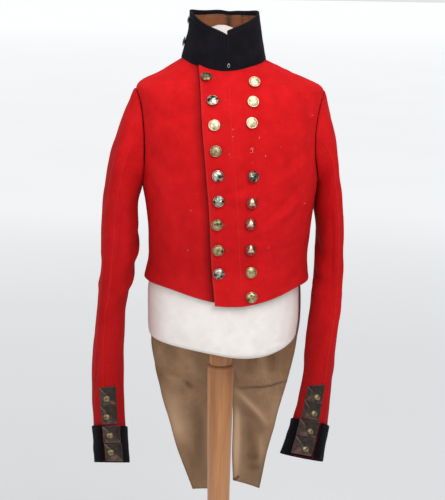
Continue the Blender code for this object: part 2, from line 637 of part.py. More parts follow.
# ---------------------------------------------------------------- tails
def tail(u, row, sign):
    """A tail's outer face: u 0 at its front edge, 1 at the centre back; row from the waist seam 0 down to 6."""
    table = TAIL_LEFT if sign > 0 else TAIL_RIGHT
    u, row = np.broadcast_arrays(np.asarray(u, float), np.asarray(row, float))
    at = {n: by_row(table, TAIL_COLUMNS, n, row) for n in TAIL_COLUMNS}
    x = at["x_edge"] + (at["x_back"] - at["x_edge"]) * u
    y = at["y_edge"] + (at["y_back"] - at["y_edge"]) * u + at["belly"] * 4 * u * (1 - u) * (1 - 0.45 * u) / 0.9
    z = at["z_edge"] + (at["z_back"] - at["z_edge"]) * u
    return np.stack([x, y, z], -1)


TAIL_ROWS = np.linspace(0, 6, 11)
for side, sign in (("left", 1), ("right", -1)):
    u, row = np.broadcast_arrays(np.linspace(0, 1, 8)[:, None], TAIL_ROWS[None])
    points = tail(u, row, sign)
    out = outward(points)
    out = out * np.sign(out[..., 1].mean())
    add(f"tail_{side}", *wall(points, points - out * CLOTH), "scarlet_cloth")
    u, row = np.broadcast_arrays(np.linspace(0.012, 0.985, 8)[:, None], np.linspace(0.05, 5.97, 11)[None])
    points = tail(u, row, sign)
    out = outward(points)
    out = out * np.sign(out[..., 1].mean())
    face = points - out * (CLOTH + 2 * GAP)
    add(f"tail_lining_{side}", *wall(face, face - out * LINING), "tan_lining")


# ---------------------------------------------------------------- dress form, pole and base
FORM_EDGE_LIFT = 0.012                           # the form's lower edge rises towards its sides
FORM_EDGE_TILT = 0.0070                          # and hangs lower on the wearer's left
FORM_EDGE_SHARE = {0: 1.0, 1: 1.0, 2: 0.35}      # by row of its table


def form_ring(row, sides):
    at = dict(zip(FORM_COLUMNS, FORM[row]))
    angle = np.linspace(0, 2 * math.pi, sides, endpoint=False)
    c, s = power_round(angle, at["power"])
    depth = np.where(s < 0, -at["y_front"], at["y_back"])
    x = at["half_width"] * c
    rise = FORM_EDGE_LIFT * (x / 0.12) ** 2 - FORM_EDGE_TILT * np.sin(math.pi * x / 0.135)
    return np.stack([at["shift"] + x, depth * s, at["z"] + FORM_EDGE_SHARE.get(row, 0) * rise], -1)


FORM_SIDES = 32
rings = [form_ring(k, FORM_SIDES) for k in range(len(FORM))]
foot = rings[0] * (0.28, 0.28, 0) + (0, 0, FORM[0][0])   # flat ring round the pole
rings.insert(0, foot)
verts = np.concatenate(rings)
faces = [tuple(range(FORM_SIDES))[::-1], tuple(range((len(rings) - 1) * FORM_SIDES, len(rings) * FORM_SIDES))]
for k in range(len(rings) - 1):
    for i in range(FORM_SIDES):
        n = (i + 1) % FORM_SIDES
        a, b = k * FORM_SIDES, (k + 1) * FORM_SIDES
        faces.append((a + i, a + n, b + n, b + i))
add("form_body", verts, faces, "cream_jersey")

form_under = FORM[0][0]
add(
    "pole_neck",
    *turned(
        (
            (0, POLE_TOP + GAP), (0.0200, POLE_TOP + GAP), (0.0200, POLE_TOP + 0.020),
            (0.0185, POLE_TOP + 0.026), (0.0185, form_under - GAP), (0, form_under - GAP),
        ),
        24,
    ),
    "varnished_wood",
)
add("pole", *turned(((0, POLE[0][0]),) + tuple((r, z) for z, r in POLE) + ((0, POLE_TOP),), 24), "varnished_wood")
add(
    "base",
    *turned(
        (
            (0, 0.0), (BASE_R - 0.004, 0.0), (BASE_R, 0.004), (BASE_R, BASE_H - 0.012),
            (BASE_R - 0.012, BASE_H), (0, BASE_H),
        ),
        48,
    ),
    "varnished_wood",
)
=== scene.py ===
"""Looks of the scarlet coatee on its dress form: cloth shells with their folds, seams and stitches, lace,
buttons, linings, the form and its stand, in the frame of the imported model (metres, +Z up, front at -Y)."""

import math

import bpy
import numpy as np
from mathutils import Matrix


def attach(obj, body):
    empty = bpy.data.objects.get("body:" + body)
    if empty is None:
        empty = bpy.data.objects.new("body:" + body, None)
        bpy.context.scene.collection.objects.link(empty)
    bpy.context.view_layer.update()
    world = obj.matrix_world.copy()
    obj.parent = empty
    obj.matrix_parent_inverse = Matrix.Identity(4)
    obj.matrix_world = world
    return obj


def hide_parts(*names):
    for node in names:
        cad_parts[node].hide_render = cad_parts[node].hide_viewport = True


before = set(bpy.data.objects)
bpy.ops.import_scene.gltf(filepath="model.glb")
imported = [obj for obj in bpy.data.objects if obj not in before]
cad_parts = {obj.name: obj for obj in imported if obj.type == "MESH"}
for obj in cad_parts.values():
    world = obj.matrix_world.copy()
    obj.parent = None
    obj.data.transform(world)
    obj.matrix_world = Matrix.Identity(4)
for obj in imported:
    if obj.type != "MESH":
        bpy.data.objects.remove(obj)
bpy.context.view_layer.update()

# ---------------------------------------------------------------- sizes shared with the solids
CLOTH, CUFF_CLOTH, COLLAR_CLOTH, LINING, LACE = 0.0020, 0.0018, 0.0030, 0.0010, 0.0010
GAP = 0.0003
LAP = CLOTH + 5 * GAP
BUTTON_R, BUTTON_H = 0.0098, 0.0062
CUFF_BUTTON_R, CUFF_BUTTON_H = 0.0060, 0.0045
COLLAR_BUTTON_R, COLLAR_BUTTON_H = 0.0085, 0.0060
SIDE_SEAM = math.radians(16)
ARMHOLE_FRONT = {1: math.radians(27), -1: math.radians(21)}
ARMHOLE_BACK = {1: math.radians(25), -1: math.radians(25)}
UNDERLAP_X = 0.024
POLE_TOP = 0.845
BASE_R, BASE_H = 0.200, 0.030
POLE_COLUMNS = ("z", "radius")
POLE = ((0.0303, 0.0190), (0.300, 0.0196), (0.615, 0.0207), (0.825, 0.0242), (0.839, 0.0242), (0.845, 0.0212))
FORM_EDGE_LIFT = 0.012
FORM_EDGE_TILT = 0.0070

TORSO_COLUMNS = ("z_side", "half_width", "shift", "y_front", "z_front", "y_back", "z_back", "power", "dip")
TORSO = (
    (1.0095, 0.1470, 0.0085, -0.1180, 0.9805, 0.1040, 1.0020, 2.25, 4.6),
    (1.0570, 0.1420, 0.0100, -0.1165, 1.0460, 0.0970, 1.0540, 2.25, 3.0),
    (1.1250, 0.1470, 0.0103, -0.1230, 1.1200, 0.1060, 1.1250, 2.30, 2.0),
    (1.1880, 0.1550, 0.0100, -0.1270, 1.1950, 0.1150, 1.2000, 2.35, 2.0),
    (1.2680, 0.1590, 0.0092, -0.1170, 1.2750, 0.1190, 1.2850, 2.40, 2.0),
    (1.3440, 0.1640, 0.0085, -0.0950, 1.3350, 0.1080, 1.3600, 2.40, 2.0),
    (1.3735, 0.1160, 0.0030, -0.0820, 1.3620, 0.0860, 1.3980, 2.20, 2.0),
    (1.3970, 0.0727, -0.0035, -0.0740, 1.3780, 0.0600, 1.4140, 2.00, 2.0),
)
UNDERARM, SHOULDER, NECK = 3.0, 5.0, 7.0

EDGE_COLUMNS = ("z", "x")
EDGE = ((0.980, -0.0190), (1.050, -0.0255), (1.140, -0.0310), (1.220, -0.0383), (1.300, -0.0450), (1.378, -0.0480))

COLLAR_COLUMNS = ("share", "half_width", "shift", "y_front", "y_back")
COLLAR = (
    (0.00, 0.0735, -0.0035, -0.0750, 0.0610),
    (0.20, 0.0705, -0.0035, -0.0730, 0.0600),
    (0.55, 0.0650, -0.0030, -0.0690, 0.0585),
    (1.00, 0.0612, -0.0025, -0.0640, 0.0590),
)
COLLAR_TOP_BACK, COLLAR_TOP_FRONT = 1.4795, 1.4400
COLLAR_OPEN_X = 0.0008

SLEEVE_COLUMNS = ("z_outer", "x_outer", "z_inner", "x_inner", "y_mid", "half_depth", "seam_share", "lean")
SLEEVE_RIGHT = (
    (1.3000, -0.1790, 1.1700, -0.1510, 0.0060, 0.0660, 0.34, 0.00),
    (1.2250, -0.2010, 1.1420, -0.1520, 0.0060, 0.0740, 0.38, 0.00),
    (1.1250, -0.2155, 1.0880, -0.1510, 0.0070, 0.0740, 0.38, 0.00),
    (1.0250, -0.2190, 1.0150, -0.1590, 0.0060, 0.0690, 0.36, 0.04),
    (0.9350, -0.2260, 0.9400, -0.1745, 0.0020, 0.0640, 0.36, 0.12),
    (0.8480, -0.2335, 0.8550, -0.1760, -0.0090, 0.0580, 0.38, 0.22),
    (0.7880, -0.2325, 0.7940, -0.1755, -0.0220, 0.0530, 0.40, 0.30),
    (0.7330, -0.2285, 0.7370, -0.1730, -0.0370, 0.0480, 0.42, 0.36),
    (0.6790, -0.2262, 0.6775, -0.1670, -0.0540, 0.0470, 0.44, 0.36),
)
SLEEVE_LEFT = (
    (1.3000, 0.1890, 1.1700, 0.1640, 0.0060, 0.0660, 0.30, 0.00),
    (1.2250, 0.2020, 1.1420, 0.1625, 0.0060, 0.0740, 0.32, 0.00),
    (1.1250, 0.2115, 1.0880, 0.1710, 0.0070, 0.0740, 0.34, 0.00),
    (1.0250, 0.2165, 1.0150, 0.1680, 0.0060, 0.0690, 0.36, 0.04),
    (0.9350, 0.2140, 0.9450, 0.1610, 0.0020, 0.0640, 0.36, 0.12),
    (0.8480, 0.2045, 0.8600, 0.1540, -0.0090, 0.0580, 0.40, 0.22),
    (0.7880, 0.1985, 0.8020, 0.1440, -0.0220, 0.0530, 0.42, 0.30),
    (0.7330, 0.1930, 0.7480, 0.1295, -0.0370, 0.0490, 0.44, 0.36),
    (0.6770, 0.1825, 0.6925, 0.1110, -0.0540, 0.0480, 0.46, 0.36),
)
CUFF_START, CUFF_FALL, SLEEVE_END = {1: 6.93, -1: 6.875}, {1: 0.0, -1: 0.10}, 8.0
CUFF_SLIT = {1: math.radians(75), -1: math.radians(72)}
CUFF_SLIT_HALF = math.radians(3)

LACE_COLUMNS = ("at", "span", "turn", "reach", "button_at", "button_turn")
LACE_RIGHT = (
    (5.99, 0.270, 100.0, 27.0, 6.07, 97.0),
    (6.59, 0.285, 100.0, 27.0, 6.65, 93.0),
    (7.19, 0.235, 103.0, 26.0, 7.22, 97.0),
    (7.72, 0.240, 105.0, 26.0, 7.72, 96.0),
)
LACE_LEFT = (
    (6.02, 0.270, 110.0, 27.0, 6.14, 101.0),
    (6.60, 0.285, 109.0, 27.0, 6.69, 100.0),
    (7.17, 0.235, 107.0, 26.0, 7.25, 99.0),
    (7.70, 0.240, 106.0, 26.0, 7.78, 100.0),
)

EDGE_BUTTONS = (
    (-0.0375, 1.3670), (-0.0275, 1.3297), (-0.0250, 1.2900), (-0.0225, 1.2482), (-0.0190, 1.2077),
    (-0.0165, 1.1648), (-0.0185, 1.1244), (-0.0153, 1.0801), (-0.0138, 1.0381),
)
FAR_BUTTONS = (
    (0.0432, 1.3597), (0.0403, 1.3283), (0.0375, 1.2942), (0.0404, 1.2063), (0.0390, 1.1618),
    (0.0374, 1.1256), (0.0388, 1.0806), (0.0407, 1.0403), (0.0425, 0.9967),
)
LOST_BUTTON = (0.0385, 1.2490)

TAIL_COLUMNS = ("z_edge", "x_edge", "y_edge", "z_back", "x_back", "y_back", "belly")
TAIL_RIGHT = (
    (0.9980, -0.1200, 0.0480, 0.9940, 0.0075, 0.1040, 0.0430),
    (0.9300, -0.1240, 0.0680, 0.9300, 0.0070, 0.1110, 0.0370),
    (0.8650, -0.1255, 0.0900, 0.8650, 0.0060, 0.1160, 0.0280),
    (0.7900, -0.1130, 0.1070, 0.7900, 0.0050, 0.1200, 0.0180),
    (0.7100, -0.0935, 0.1170, 0.7100, 0.0040, 0.1230, 0.0110),
    (0.6300, -0.0695, 0.1210, 0.6300, 0.0030, 0.1240, 0.0060),
    (0.5600, -0.0435, 0.1210, 0.5600, 0.0020, 0.1240, 0.0030),
)
TAIL_LEFT = (
    (0.9990, 0.1475, 0.0400, 0.9940, 0.0105, 0.1040, 0.0430),
    (0.9300, 0.1535, 0.0620, 0.9300, 0.0150, 0.1110, 0.0370),
    (0.8650, 0.1510, 0.0860, 0.8650, 0.0220, 0.1160, 0.0280),
    (0.7900, 0.1390, 0.1060, 0.7900, 0.0300, 0.1200, 0.0180),
    (0.7100, 0.1210, 0.1170, 0.7150, 0.0330, 0.1230, 0.0110),
    (0.6300, 0.1015, 0.1210, 0.6400, 0.0330, 0.1240, 0.0060),
    (0.5600, 0.0885, 0.1210, 0.5770, 0.0360, 0.1240, 0.0030),
)

FORM_COLUMNS = ("z", "half_width", "shift", "y_front", "y_back", "power")
FORM = (
    (0.8850, 0.1200, 0.0020, -0.0980, 0.0860, 2.2),
    (0.8920, 0.1325, 0.0022, -0.1090, 0.0970, 2.2),
    (0.9300, 0.1355, 0.0025, -0.1110, 0.0985, 2.2),
    (0.9830, 0.1360, 0.0028, -0.1090, 0.0950, 2.2),
    (1.0560, 0.1290, 0.0040, -0.1060, 0.0880, 2.2),
    (1.1250, 0.1360, 0.0060, -0.1120, 0.0970, 2.25),
    (1.1950, 0.1440, 0.0080, -0.1160, 0.1050, 2.3),
    (1.2700, 0.1460, 0.0080, -0.1050, 0.1080, 2.3),
    (1.3200, 0.1340, 0.0070, -0.0860, 0.0980, 2.2),
    (1.3540, 0.0960, 0.0040, -0.0660, 0.0800, 2.1),
    (1.3720, 0.0620, 0.0000, -0.0560, 0.0600, 2.0),
    (1.4000, 0.0500, -0.0030, -0.0500, 0.0460, 2.0),
    (1.4300, 0.0440, -0.0040, -0.0440, 0.0400, 2.0),
    (1.4480, 0.0250, -0.0075, -0.0270, 0.0240, 2.0),
    (1.4550, 0.0070, -0.0080, -0.0080, 0.0075, 2.0),
)


# ---------------------------------------------------------------- curves and surfaces
def column(table, names, name):
    return np.array([row[names.index(name)] for row in table], float)


def slopes(x, y):
    h, d = np.diff(x), np.diff(y) / np.diff(x)
    m = np.empty_like(y)
    m[0], m[-1] = d[0], d[-1]
    for i in range(1, len(y) - 1):
        if d[i - 1] * d[i] <= 0:
            m[i] = 0.0
        else:
            a, b = 2 * h[i] + h[i - 1], h[i] + 2 * h[i - 1]
            m[i] = (a + b) / (a / d[i - 1] + b / d[i])
    return m


def through(x, y, at):
    x, y, at = np.asarray(x, float), np.asarray(y, float), np.asarray(at, float)
    if x[0] > x[-1]:
        x, y = x[::-1], y[::-1]
    m = slopes(x, y)
    at = np.clip(at, x[0], x[-1])
    i = np.clip(np.searchsorted(x, at) - 1, 0, len(x) - 2)
    h = x[i + 1] - x[i]
    t = (at - x[i]) / h
    return (
        (1 + 2 * t) * (1 - t) ** 2 * y[i] + t * (1 - t) ** 2 * h * m[i]
        + t * t * (3 - 2 * t) * y[i + 1] + t * t * (t - 1) * h * m[i + 1]
    )


def by_row(table, names, name, row):
    y = column(table, names, name)
    return through(np.arange(len(y)), y, row)


def power_round(angle, power):
    c, s = np.cos(angle), np.sin(angle)
    return np.sign(c) * np.abs(c) ** (2 / power), np.sign(s) * np.abs(s) ** (2 / power)


def ease(a, b, x):
    t = np.clip((x - a) / (b - a), 0, 1)
    return t * t * (3 - 2 * t)


def unit(v):
    return v / np.maximum(np.linalg.norm(v, axis=-1, keepdims=True), 1e-12)


def torso(angle, row):
    angle, row = np.broadcast_arrays(np.asarray(angle, float), np.asarray(row, float))
    at = {n: by_row(TORSO, TORSO_COLUMNS, n, row) for n in TORSO_COLUMNS}
    c, s = power_round(angle, at["power"])
    front = np.sin(angle) < 0
    x = at["shift"] + at["half_width"] * c
    y = np.where(front, -at["y_front"], at["y_back"]) * s
    lift = np.where(front, at["z_front"], at["z_back"]) - at["z_side"]
    return np.stack([x, y, at["z_side"] + lift * np.abs(np.sin(angle)) ** at["dip"]], -1)


def torso_out(angle, row):
    h = 1e-3
    du = torso(angle + h, row) - torso(angle - h, row)
    dv = torso(angle, row + 4 * h) - torso(angle, row - 4 * h)
    return unit(np.cross(du, dv))


def front_angle(x, row):
    c = (x - by_row(TORSO, TORSO_COLUMNS, "shift", row)) / by_row(TORSO, TORSO_COLUMNS, "half_width", row)
    p = by_row(TORSO, TORSO_COLUMNS, "power", row)
    return -np.arccos(np.clip(np.sign(c) * np.abs(c) ** (p / 2), -1, 1))


def front_place(x, z):
    row = through(column(TORSO, TORSO_COLUMNS, "z_front"), np.arange(len(TORSO)), np.array(z))
    for _ in range(30):
        p = torso(front_angle(x, row), row)
        row = row + (z - p[2]) / 0.075
    return front_angle(x, row), row


def armhole(row):
    mid, half = (UNDERARM + SHOULDER) / 2, (SHOULDER - UNDERARM) / 2
    return np.sqrt(np.clip(1 - ((row - mid) / half) ** 2, 0, 1))


def armhole_foot(row):
    return SIDE_SEAM * (1 - ease(UNDERARM - 1.2, UNDERARM, row))


SLEEVE_STEP = 0.0009


def armhole_ring(turn, sign):
    mid, half = (UNDERARM + SHOULDER) / 2, (SHOULDER - UNDERARM) / 2
    row = mid + half * np.cos(turn)
    reach = np.where(np.sin(turn) > 0, ARMHOLE_FRONT[sign], ARMHOLE_BACK[sign])
    angle = armhole_foot(row) - reach * np.sin(turn)
    angle = angle if sign > 0 else math.pi - angle
    flat_angle, place = np.unique(np.stack([angle, row], -1).reshape(-1, 2), axis=0, return_inverse=True)
    points, out = torso(flat_angle[:, 0], flat_angle[:, 1]), torso_out(flat_angle[:, 0], flat_angle[:, 1])
    ring = points + out * (SLEEVE_STEP + body_height(points))[:, None]
    return ring[np.asarray(place).reshape(-1)].reshape(angle.shape + (3,))


def sleeve(turn, row, sign):
    table = SLEEVE_LEFT if sign > 0 else SLEEVE_RIGHT
    turn, row = np.broadcast_arrays(np.asarray(turn, float), np.asarray(row, float))
    at = {n: by_row(table, SLEEVE_COLUMNS, n, np.maximum(row, 0)) for n in SLEEVE_COLUMNS}
    c, s = np.cos(turn), np.sin(turn)
    x_mid, z_mid = (at["x_outer"] + at["x_inner"]) / 2, (at["z_outer"] + at["z_inner"]) / 2
    x_seam = at["x_outer"] + (at["x_inner"] - at["x_outer"]) * at["seam_share"]
    x = x_mid + (at["x_outer"] - at["x_inner"]) / 2 * c + (x_seam - x_mid) * np.where(s > 0, s ** 3, 0)
    y = at["y_mid"] - at["half_depth"] * s
    z = z_mid + (at["z_outer"] - at["z_inner"]) / 2 * c + at["lean"] * at["half_depth"] * s
    ring = np.stack([x, y, z], -1)
    head = armhole_ring(turn, sign)
    w = ease(-1.0, 0.35, row)[..., None]
    return head * (1 - w) + ring * w


def sleeve_out(turn, row, sign):
    h = 1e-3
    du = sleeve(turn + h, row, sign) - sleeve(turn - h, row, sign)
    dv = sleeve(turn, np.minimum(row + h * 4, SLEEVE_END), sign) - sleeve(turn, row - h * 4, sign)
    return unit(np.cross(du, dv)) * sign


def tail(u, row, sign):
    table = TAIL_LEFT if sign > 0 else TAIL_RIGHT
    u, row = np.broadcast_arrays(np.asarray(u, float), np.asarray(row, float))
    at = {n: by_row(table, TAIL_COLUMNS, n, row) for n in TAIL_COLUMNS}
    x = at["x_edge"] + (at["x_back"] - at["x_edge"]) * u
    y = at["y_edge"] + (at["y_back"] - at["y_edge"]) * u + at["belly"] * 4 * u * (1 - u) * (1 - 0.45 * u) / 0.9
    z = at["z_edge"] + (at["z_back"] - at["z_edge"]) * u
    head = dict(zip(TAIL_COLUMNS, table[0]))
    x_head = head["x_edge"] + (head["x_back"] - head["x_edge"]) * u
    y_head = head["y_edge"] + (head["y_back"] - head["y_edge"]) * u + head["belly"] * 4 * u * (1 - u) * (1 - 0.45 * u) / 0.9
    z_head = head["z_edge"] + (head["z_back"] - head["z_edge"]) * u
    hem = torso(np.linspace(math.pi, 0.0, 181), 0.0)
    near = ease(1.0, 0.0, row)
    y = y + near * (np.interp(x_head, hem[:, 0], hem[:, 1]) - CLOTH - 0.0010 - y_head)
    z = z + near * (np.interp(x_head, hem[:, 0], hem[:, 2]) + 0.0030 - z_head)
    return np.stack([x, y, z], -1)


def grid_out(points):
    return unit(np.cross(np.gradient(points, axis=0), np.gradient(points, axis=1)))


# ---------------------------------------------------------------- folds
def ripple(points, wavelength, seed, waves=7):
    """A smooth wandering height between about -1 and 1."""
    rng = np.random.RandomState(seed)
    total = 0
    for _ in range(waves):
        d = rng.normal(size=3)
        d *= 2 * math.pi / (wavelength * rng.uniform(0.75, 1.5)) / np.linalg.norm(d)
        total = total + np.sin(points @ d + rng.uniform(0, 2 * math.pi))
    return total / math.sqrt(waves)


def along(path, samples=28):
    path = np.asarray(path, float)
    s = np.r_[0, np.cumsum(np.linalg.norm(np.diff(path, axis=0), axis=1))]
    at = np.linspace(0, s[-1], samples)
    if len(path) == 2:
        return np.stack([np.interp(at, s, path[:, k]) for k in range(2)], -1)
    return np.stack([through(s, path[:, k], at) for k in range(2)], -1)


def crease(flat, path, width, depth, kind="trough"):
    """Height of one fold on points given in a plane.  trough and ridge are soft; step is higher on its left."""
    line = along(path)
    seg = np.diff(line, axis=0)
    best, side, share = np.full(flat.shape[:-1], 1e9), np.zeros(flat.shape[:-1]), np.zeros(flat.shape[:-1])
    for k in range(len(seg)):
        rel = flat - line[k]
        t = np.clip((rel @ seg[k]) / max(seg[k] @ seg[k], 1e-15), 0, 1)
        off = rel - t[..., None] * seg[k]
        d = np.hypot(off[..., 0], off[..., 1])
        near = d < best
        best = np.where(near, d, best)
        side = np.where(near, np.sign(seg[k][0] * off[..., 1] - seg[k][1] * off[..., 0]), side)
        share = np.where(near, (k + t) / len(seg), share)
    fade = np.sin(math.pi * np.clip(share, 0, 1)) ** 0.7
    q = best / width
    if kind == "step":
        return depth * side * q * np.exp(0.5 - 0.5 * q * q) * fade
    return (depth if kind == "ridge" else -depth) * np.exp(-q * q) * fade


def folds(flat, table, scale=1.0):
    total = np.zeros(flat.shape[:-1])
    for kind, width, depth, path in table:
        total += crease(flat, path, width / 1000, scale * depth / 1000, kind)
    return total


# Folds of the front seen from the front: kind, width mm, depth mm, path (x, z).
FRONT_FOLDS = (
    ("trough", 7, 1.6, ((0.0517, 1.1159), (0.0768, 1.1402), (0.1052, 1.1661), (0.1330, 1.1960))),
    ("ridge", 9, 1.7, ((0.0560, 1.1030), (0.0889, 1.1351), (0.1157, 1.1560), (0.1350, 1.1750))),
    ("trough", 6, 1.1, ((-0.0112, 1.1774), (0.0096, 1.1809), (0.0310, 1.1884), (0.0500, 1.2000))),
    ("ridge", 8, 1.0, ((-0.0060, 1.1650), (0.0140, 1.1690), (0.0330, 1.1770))),
    ("trough", 6, 1.0, ((0.0351, 1.0916), (0.0588, 1.1038), (0.0895, 1.1126))),
    ("trough", 5, 0.7, ((0.0500, 1.0700), (0.0800, 1.0790), (0.1150, 1.0800))),
    ("trough", 10, 1.4, ((0.0900, 1.2100), (0.1150, 1.2350), (0.1400, 1.2450))),
    ("ridge", 10, 1.1, ((0.0800, 1.1900), (0.1150, 1.2150), (0.1450, 1.2250))),
    ("ridge", 11, 1.3, ((-0.0929, 1.1200), (-0.0918, 1.0790), (-0.0940, 1.0300))),
    ("trough", 12, 1.4, ((-0.1204, 1.1800), (-0.1218, 1.1305), (-0.1182, 1.0850))),
    ("trough", 9, 1.2, ((-0.0720, 1.1100), (-0.0700, 1.0700), (-0.0650, 1.0250))),
    ("trough", 9, 1.6, ((-0.1330, 1.0450), (-0.1228, 1.0320), (-0.1080, 1.0240))),
    ("ridge", 6, 1.0, ((-0.1300, 1.0200), (-0.1150, 1.0130))),
    ("trough", 5, 1.3, ((0.1080, 1.0320), (0.1192, 1.0255), (0.1320, 1.0280))),
    ("ridge", 5, 1.3, ((0.1100, 1.0180), (0.1230, 1.0150), (0.1370, 1.0200))),
    ("trough", 4, 0.6, ((-0.0255, 1.3720), (-0.0052, 1.3700), (0.0184, 1.3720))),
    ("trough", 8, 0.9, ((-0.1250, 1.3150), (-0.1050, 1.3000), (-0.0800, 1.2930))),
    ("trough", 12, 1.2, ((-0.1400, 1.2500), (-0.1250, 1.2350), (-0.1000, 1.2300))),
    ("ridge", 9, 0.9, ((0.0700, 1.3400), (0.1000, 1.3250), (0.1350, 1.3200))),
    ("trough", 9, 0.9, ((0.0900, 1.3050), (0.1150, 1.2950), (0.1450, 1.2900))),
    ("ridge", 1.1, 0.35, ((-0.0030, 1.3550), (0.0005, 1.2673), (0.0045, 1.1826), (0.0094, 1.0967), (0.0135, 0.9900))),
)
BACK_FOLDS = (
    ("trough", 9, 1.4, ((0.0350, 1.3450), (0.0600, 1.3000), (0.0700, 1.2400))),
    ("trough", 9, 1.4, ((-0.0250, 1.3450), (-0.0500, 1.3000), (-0.0600, 1.2400))),
    ("ridge", 11, 1.2, ((0.0950, 1.3100), (0.1000, 1.2500), (0.0900, 1.1900))),
    ("ridge", 11, 1.2, ((-0.0850, 1.3100), (-0.0900, 1.2500), (-0.0800, 1.1900))),
    ("trough", 8, 1.3, ((0.0150, 1.0900), (0.0500, 1.0780), (0.0900, 1.0850))),
    ("trough", 8, 1.3, ((0.0000, 1.0850), (-0.0400, 1.0750), (-0.0800, 1.0850))),
    ("ridge", 8, 1.1, ((0.0300, 1.1050), (0.0650, 1.0950), (0.1050, 1.1050))),
    ("ridge", 8, 1.1, ((-0.0150, 1.1030), (-0.0500, 1.0930), (-0.0900, 1.1050))),
    ("trough", 10, 1.3, ((0.1250, 1.1500), (0.1000, 1.1300), (0.0750, 1.1250))),
    ("trough", 10, 1.3, ((-0.1100, 1.1500), (-0.0850, 1.1300), (-0.0600, 1.1250))),
    ("ridge", 7, 0.9, ((0.0200, 1.0350), (0.0600, 1.0300), (0.1000, 1.0400))),
    ("ridge", 7, 0.9, ((-0.0050, 1.0350), (-0.0450, 1.0300), (-0.0850, 1.0400))),
    ("trough", 7, 0.8, ((0.0080, 1.3900), (0.0090, 1.3200), (0.0090, 1.2500))),
)


def body_height(points):
    """How far the coat body's cloth moves out from its plain surface."""
    front = ease(0.02, -0.03, points[..., 1])
    flat = points[..., [0, 2]]
    h = folds(flat, FRONT_FOLDS, 1.6) * front + folds(flat, BACK_FOLDS, 1.5) * (1 - front)
    h = h + 0.0007 * ripple(points, 0.11, 3) + 0.00035 * ripple(points, 0.045, 8)
    for x, z in EDGE_BUTTONS + FAR_BUTTONS + (LOST_BUTTON,):
        d2 = (flat[..., 0] - x) ** 2 + (flat[..., 1] - z) ** 2
        h = h - 0.0011 * np.exp(-d2 / 0.0105 ** 2) * front
        turn = np.arctan2(flat[..., 1] - z, flat[..., 0] - x)
        h = h + 0.00030 * np.cos(4 * turn + 40 * z) * np.exp(-((np.sqrt(d2) - 0.015) / 0.006) ** 2) * front
    return h


# Folds of a sleeve unrolled: kind, width mm, depth mm, path (millimetres/1000 round from the front seam
# towards the outside, sleeve row * 0.09).
SLEEVE_FOLDS = {
    -1: (
        ("ridge", 9, 1.6, ((0.030, 0.045), (0.034, 0.180), (0.030, 0.330), (0.026, 0.430))),
        ("trough", 8, 1.3, ((0.048, 0.020), (0.052, 0.150), (0.050, 0.300))),
        ("trough", 7, 1.2, ((-0.012, 0.090), (-0.016, 0.200), (-0.012, 0.330))),
        ("ridge", 8, 1.3, ((-0.030, 0.130), (-0.034, 0.240), (-0.028, 0.350))),
        ("trough", 9, 2.2, ((-0.085, 0.165), (-0.060, 0.200), (-0.030, 0.215))),
        ("ridge", 9, 2.0, ((-0.085, 0.190), (-0.060, 0.228), (-0.028, 0.245))),
        ("trough", 9, 2.3, ((-0.085, 0.232), (-0.058, 0.262), (-0.024, 0.275))),
        ("ridge", 8, 1.6, ((-0.085, 0.262), (-0.060, 0.290), (-0.030, 0.305))),
        ("trough", 8, 1.6, ((-0.085, 0.300), (-0.055, 0.322), (-0.025, 0.330))),
        ("ridge", 6, 1.0, ((0.010, 0.420), (0.020, 0.500), (0.034, 0.560))),
        ("trough", 6, 1.0, ((0.022, 0.400), (0.034, 0.480), (0.048, 0.540))),
        ("trough", 10, 1.6, ((0.060, 0.250), (0.090, 0.275), (0.125, 0.280))),
        ("ridge", 10, 1.5, ((0.060, 0.285), (0.090, 0.305), (0.125, 0.312))),
        ("trough", 9, 1.4, ((0.070, 0.330), (0.100, 0.345), (0.130, 0.345))),
        ("ridge", 9, 1.3, ((0.080, 0.060), (0.086, 0.150), (0.084, 0.240))),
        ("trough", 9, 1.3, ((0.105, 0.050), (0.110, 0.150), (0.108, 0.230))),
        ("ridge", 8, 1.1, ((0.090, 0.400), (0.088, 0.480), (0.080, 0.580))),
        ("trough", 7, 1.1, ((-0.040, 0.420), (-0.048, 0.500), (-0.044, 0.600))),
    ),
    1: (
        ("ridge", 9, 1.5, ((0.024, 0.040), (0.028, 0.180), (0.024, 0.330), (0.020, 0.440))),
        ("trough", 8, 1.2, ((0.044, 0.020), (0.050, 0.160), (0.046, 0.310))),
        ("trough", 7, 1.3, ((-0.016, 0.100), (-0.020, 0.200), (-0.014, 0.330))),
        ("ridge", 8, 1.2, ((-0.036, 0.140), (-0.040, 0.260), (-0.032, 0.380))),
        ("trough", 9, 2.0, ((-0.085, 0.180), (-0.062, 0.215), (-0.030, 0.228))),
        ("ridge", 9, 1.9, ((-0.085, 0.208), (-0.062, 0.244), (-0.028, 0.258))),
        ("trough", 9, 2.1, ((-0.085, 0.245), (-0.058, 0.275), (-0.024, 0.288))),
        ("ridge", 8, 1.5, ((-0.085, 0.280), (-0.060, 0.306), (-0.030, 0.320))),
        ("ridge", 6, 1.1, ((0.008, 0.440), (0.014, 0.500), (0.026, 0.560))),
        ("trough", 6, 1.0, ((-0.010, 0.420), (-0.004, 0.480), (0.010, 0.545))),
        ("trough", 10, 1.6, ((0.060, 0.255), (0.090, 0.280), (0.125, 0.288))),
        ("ridge", 10, 1.5, ((0.060, 0.290), (0.090, 0.312), (0.125, 0.320))),
        ("trough", 9, 1.3, ((0.070, 0.340), (0.100, 0.352), (0.130, 0.352))),
        ("ridge", 9, 1.3, ((0.080, 0.060), (0.086, 0.150), (0.084, 0.240))),
        ("trough", 9, 1.3, ((0.105, 0.050), (0.110, 0.150), (0.108, 0.230))),
        ("ridge", 8, 1.1, ((0.090, 0.400), (0.088, 0.480), (0.080, 0.580))),
        ("trough", 7, 1.1, ((-0.040, 0.430), (-0.048, 0.510), (-0.044, 0.610))),
    ),
}


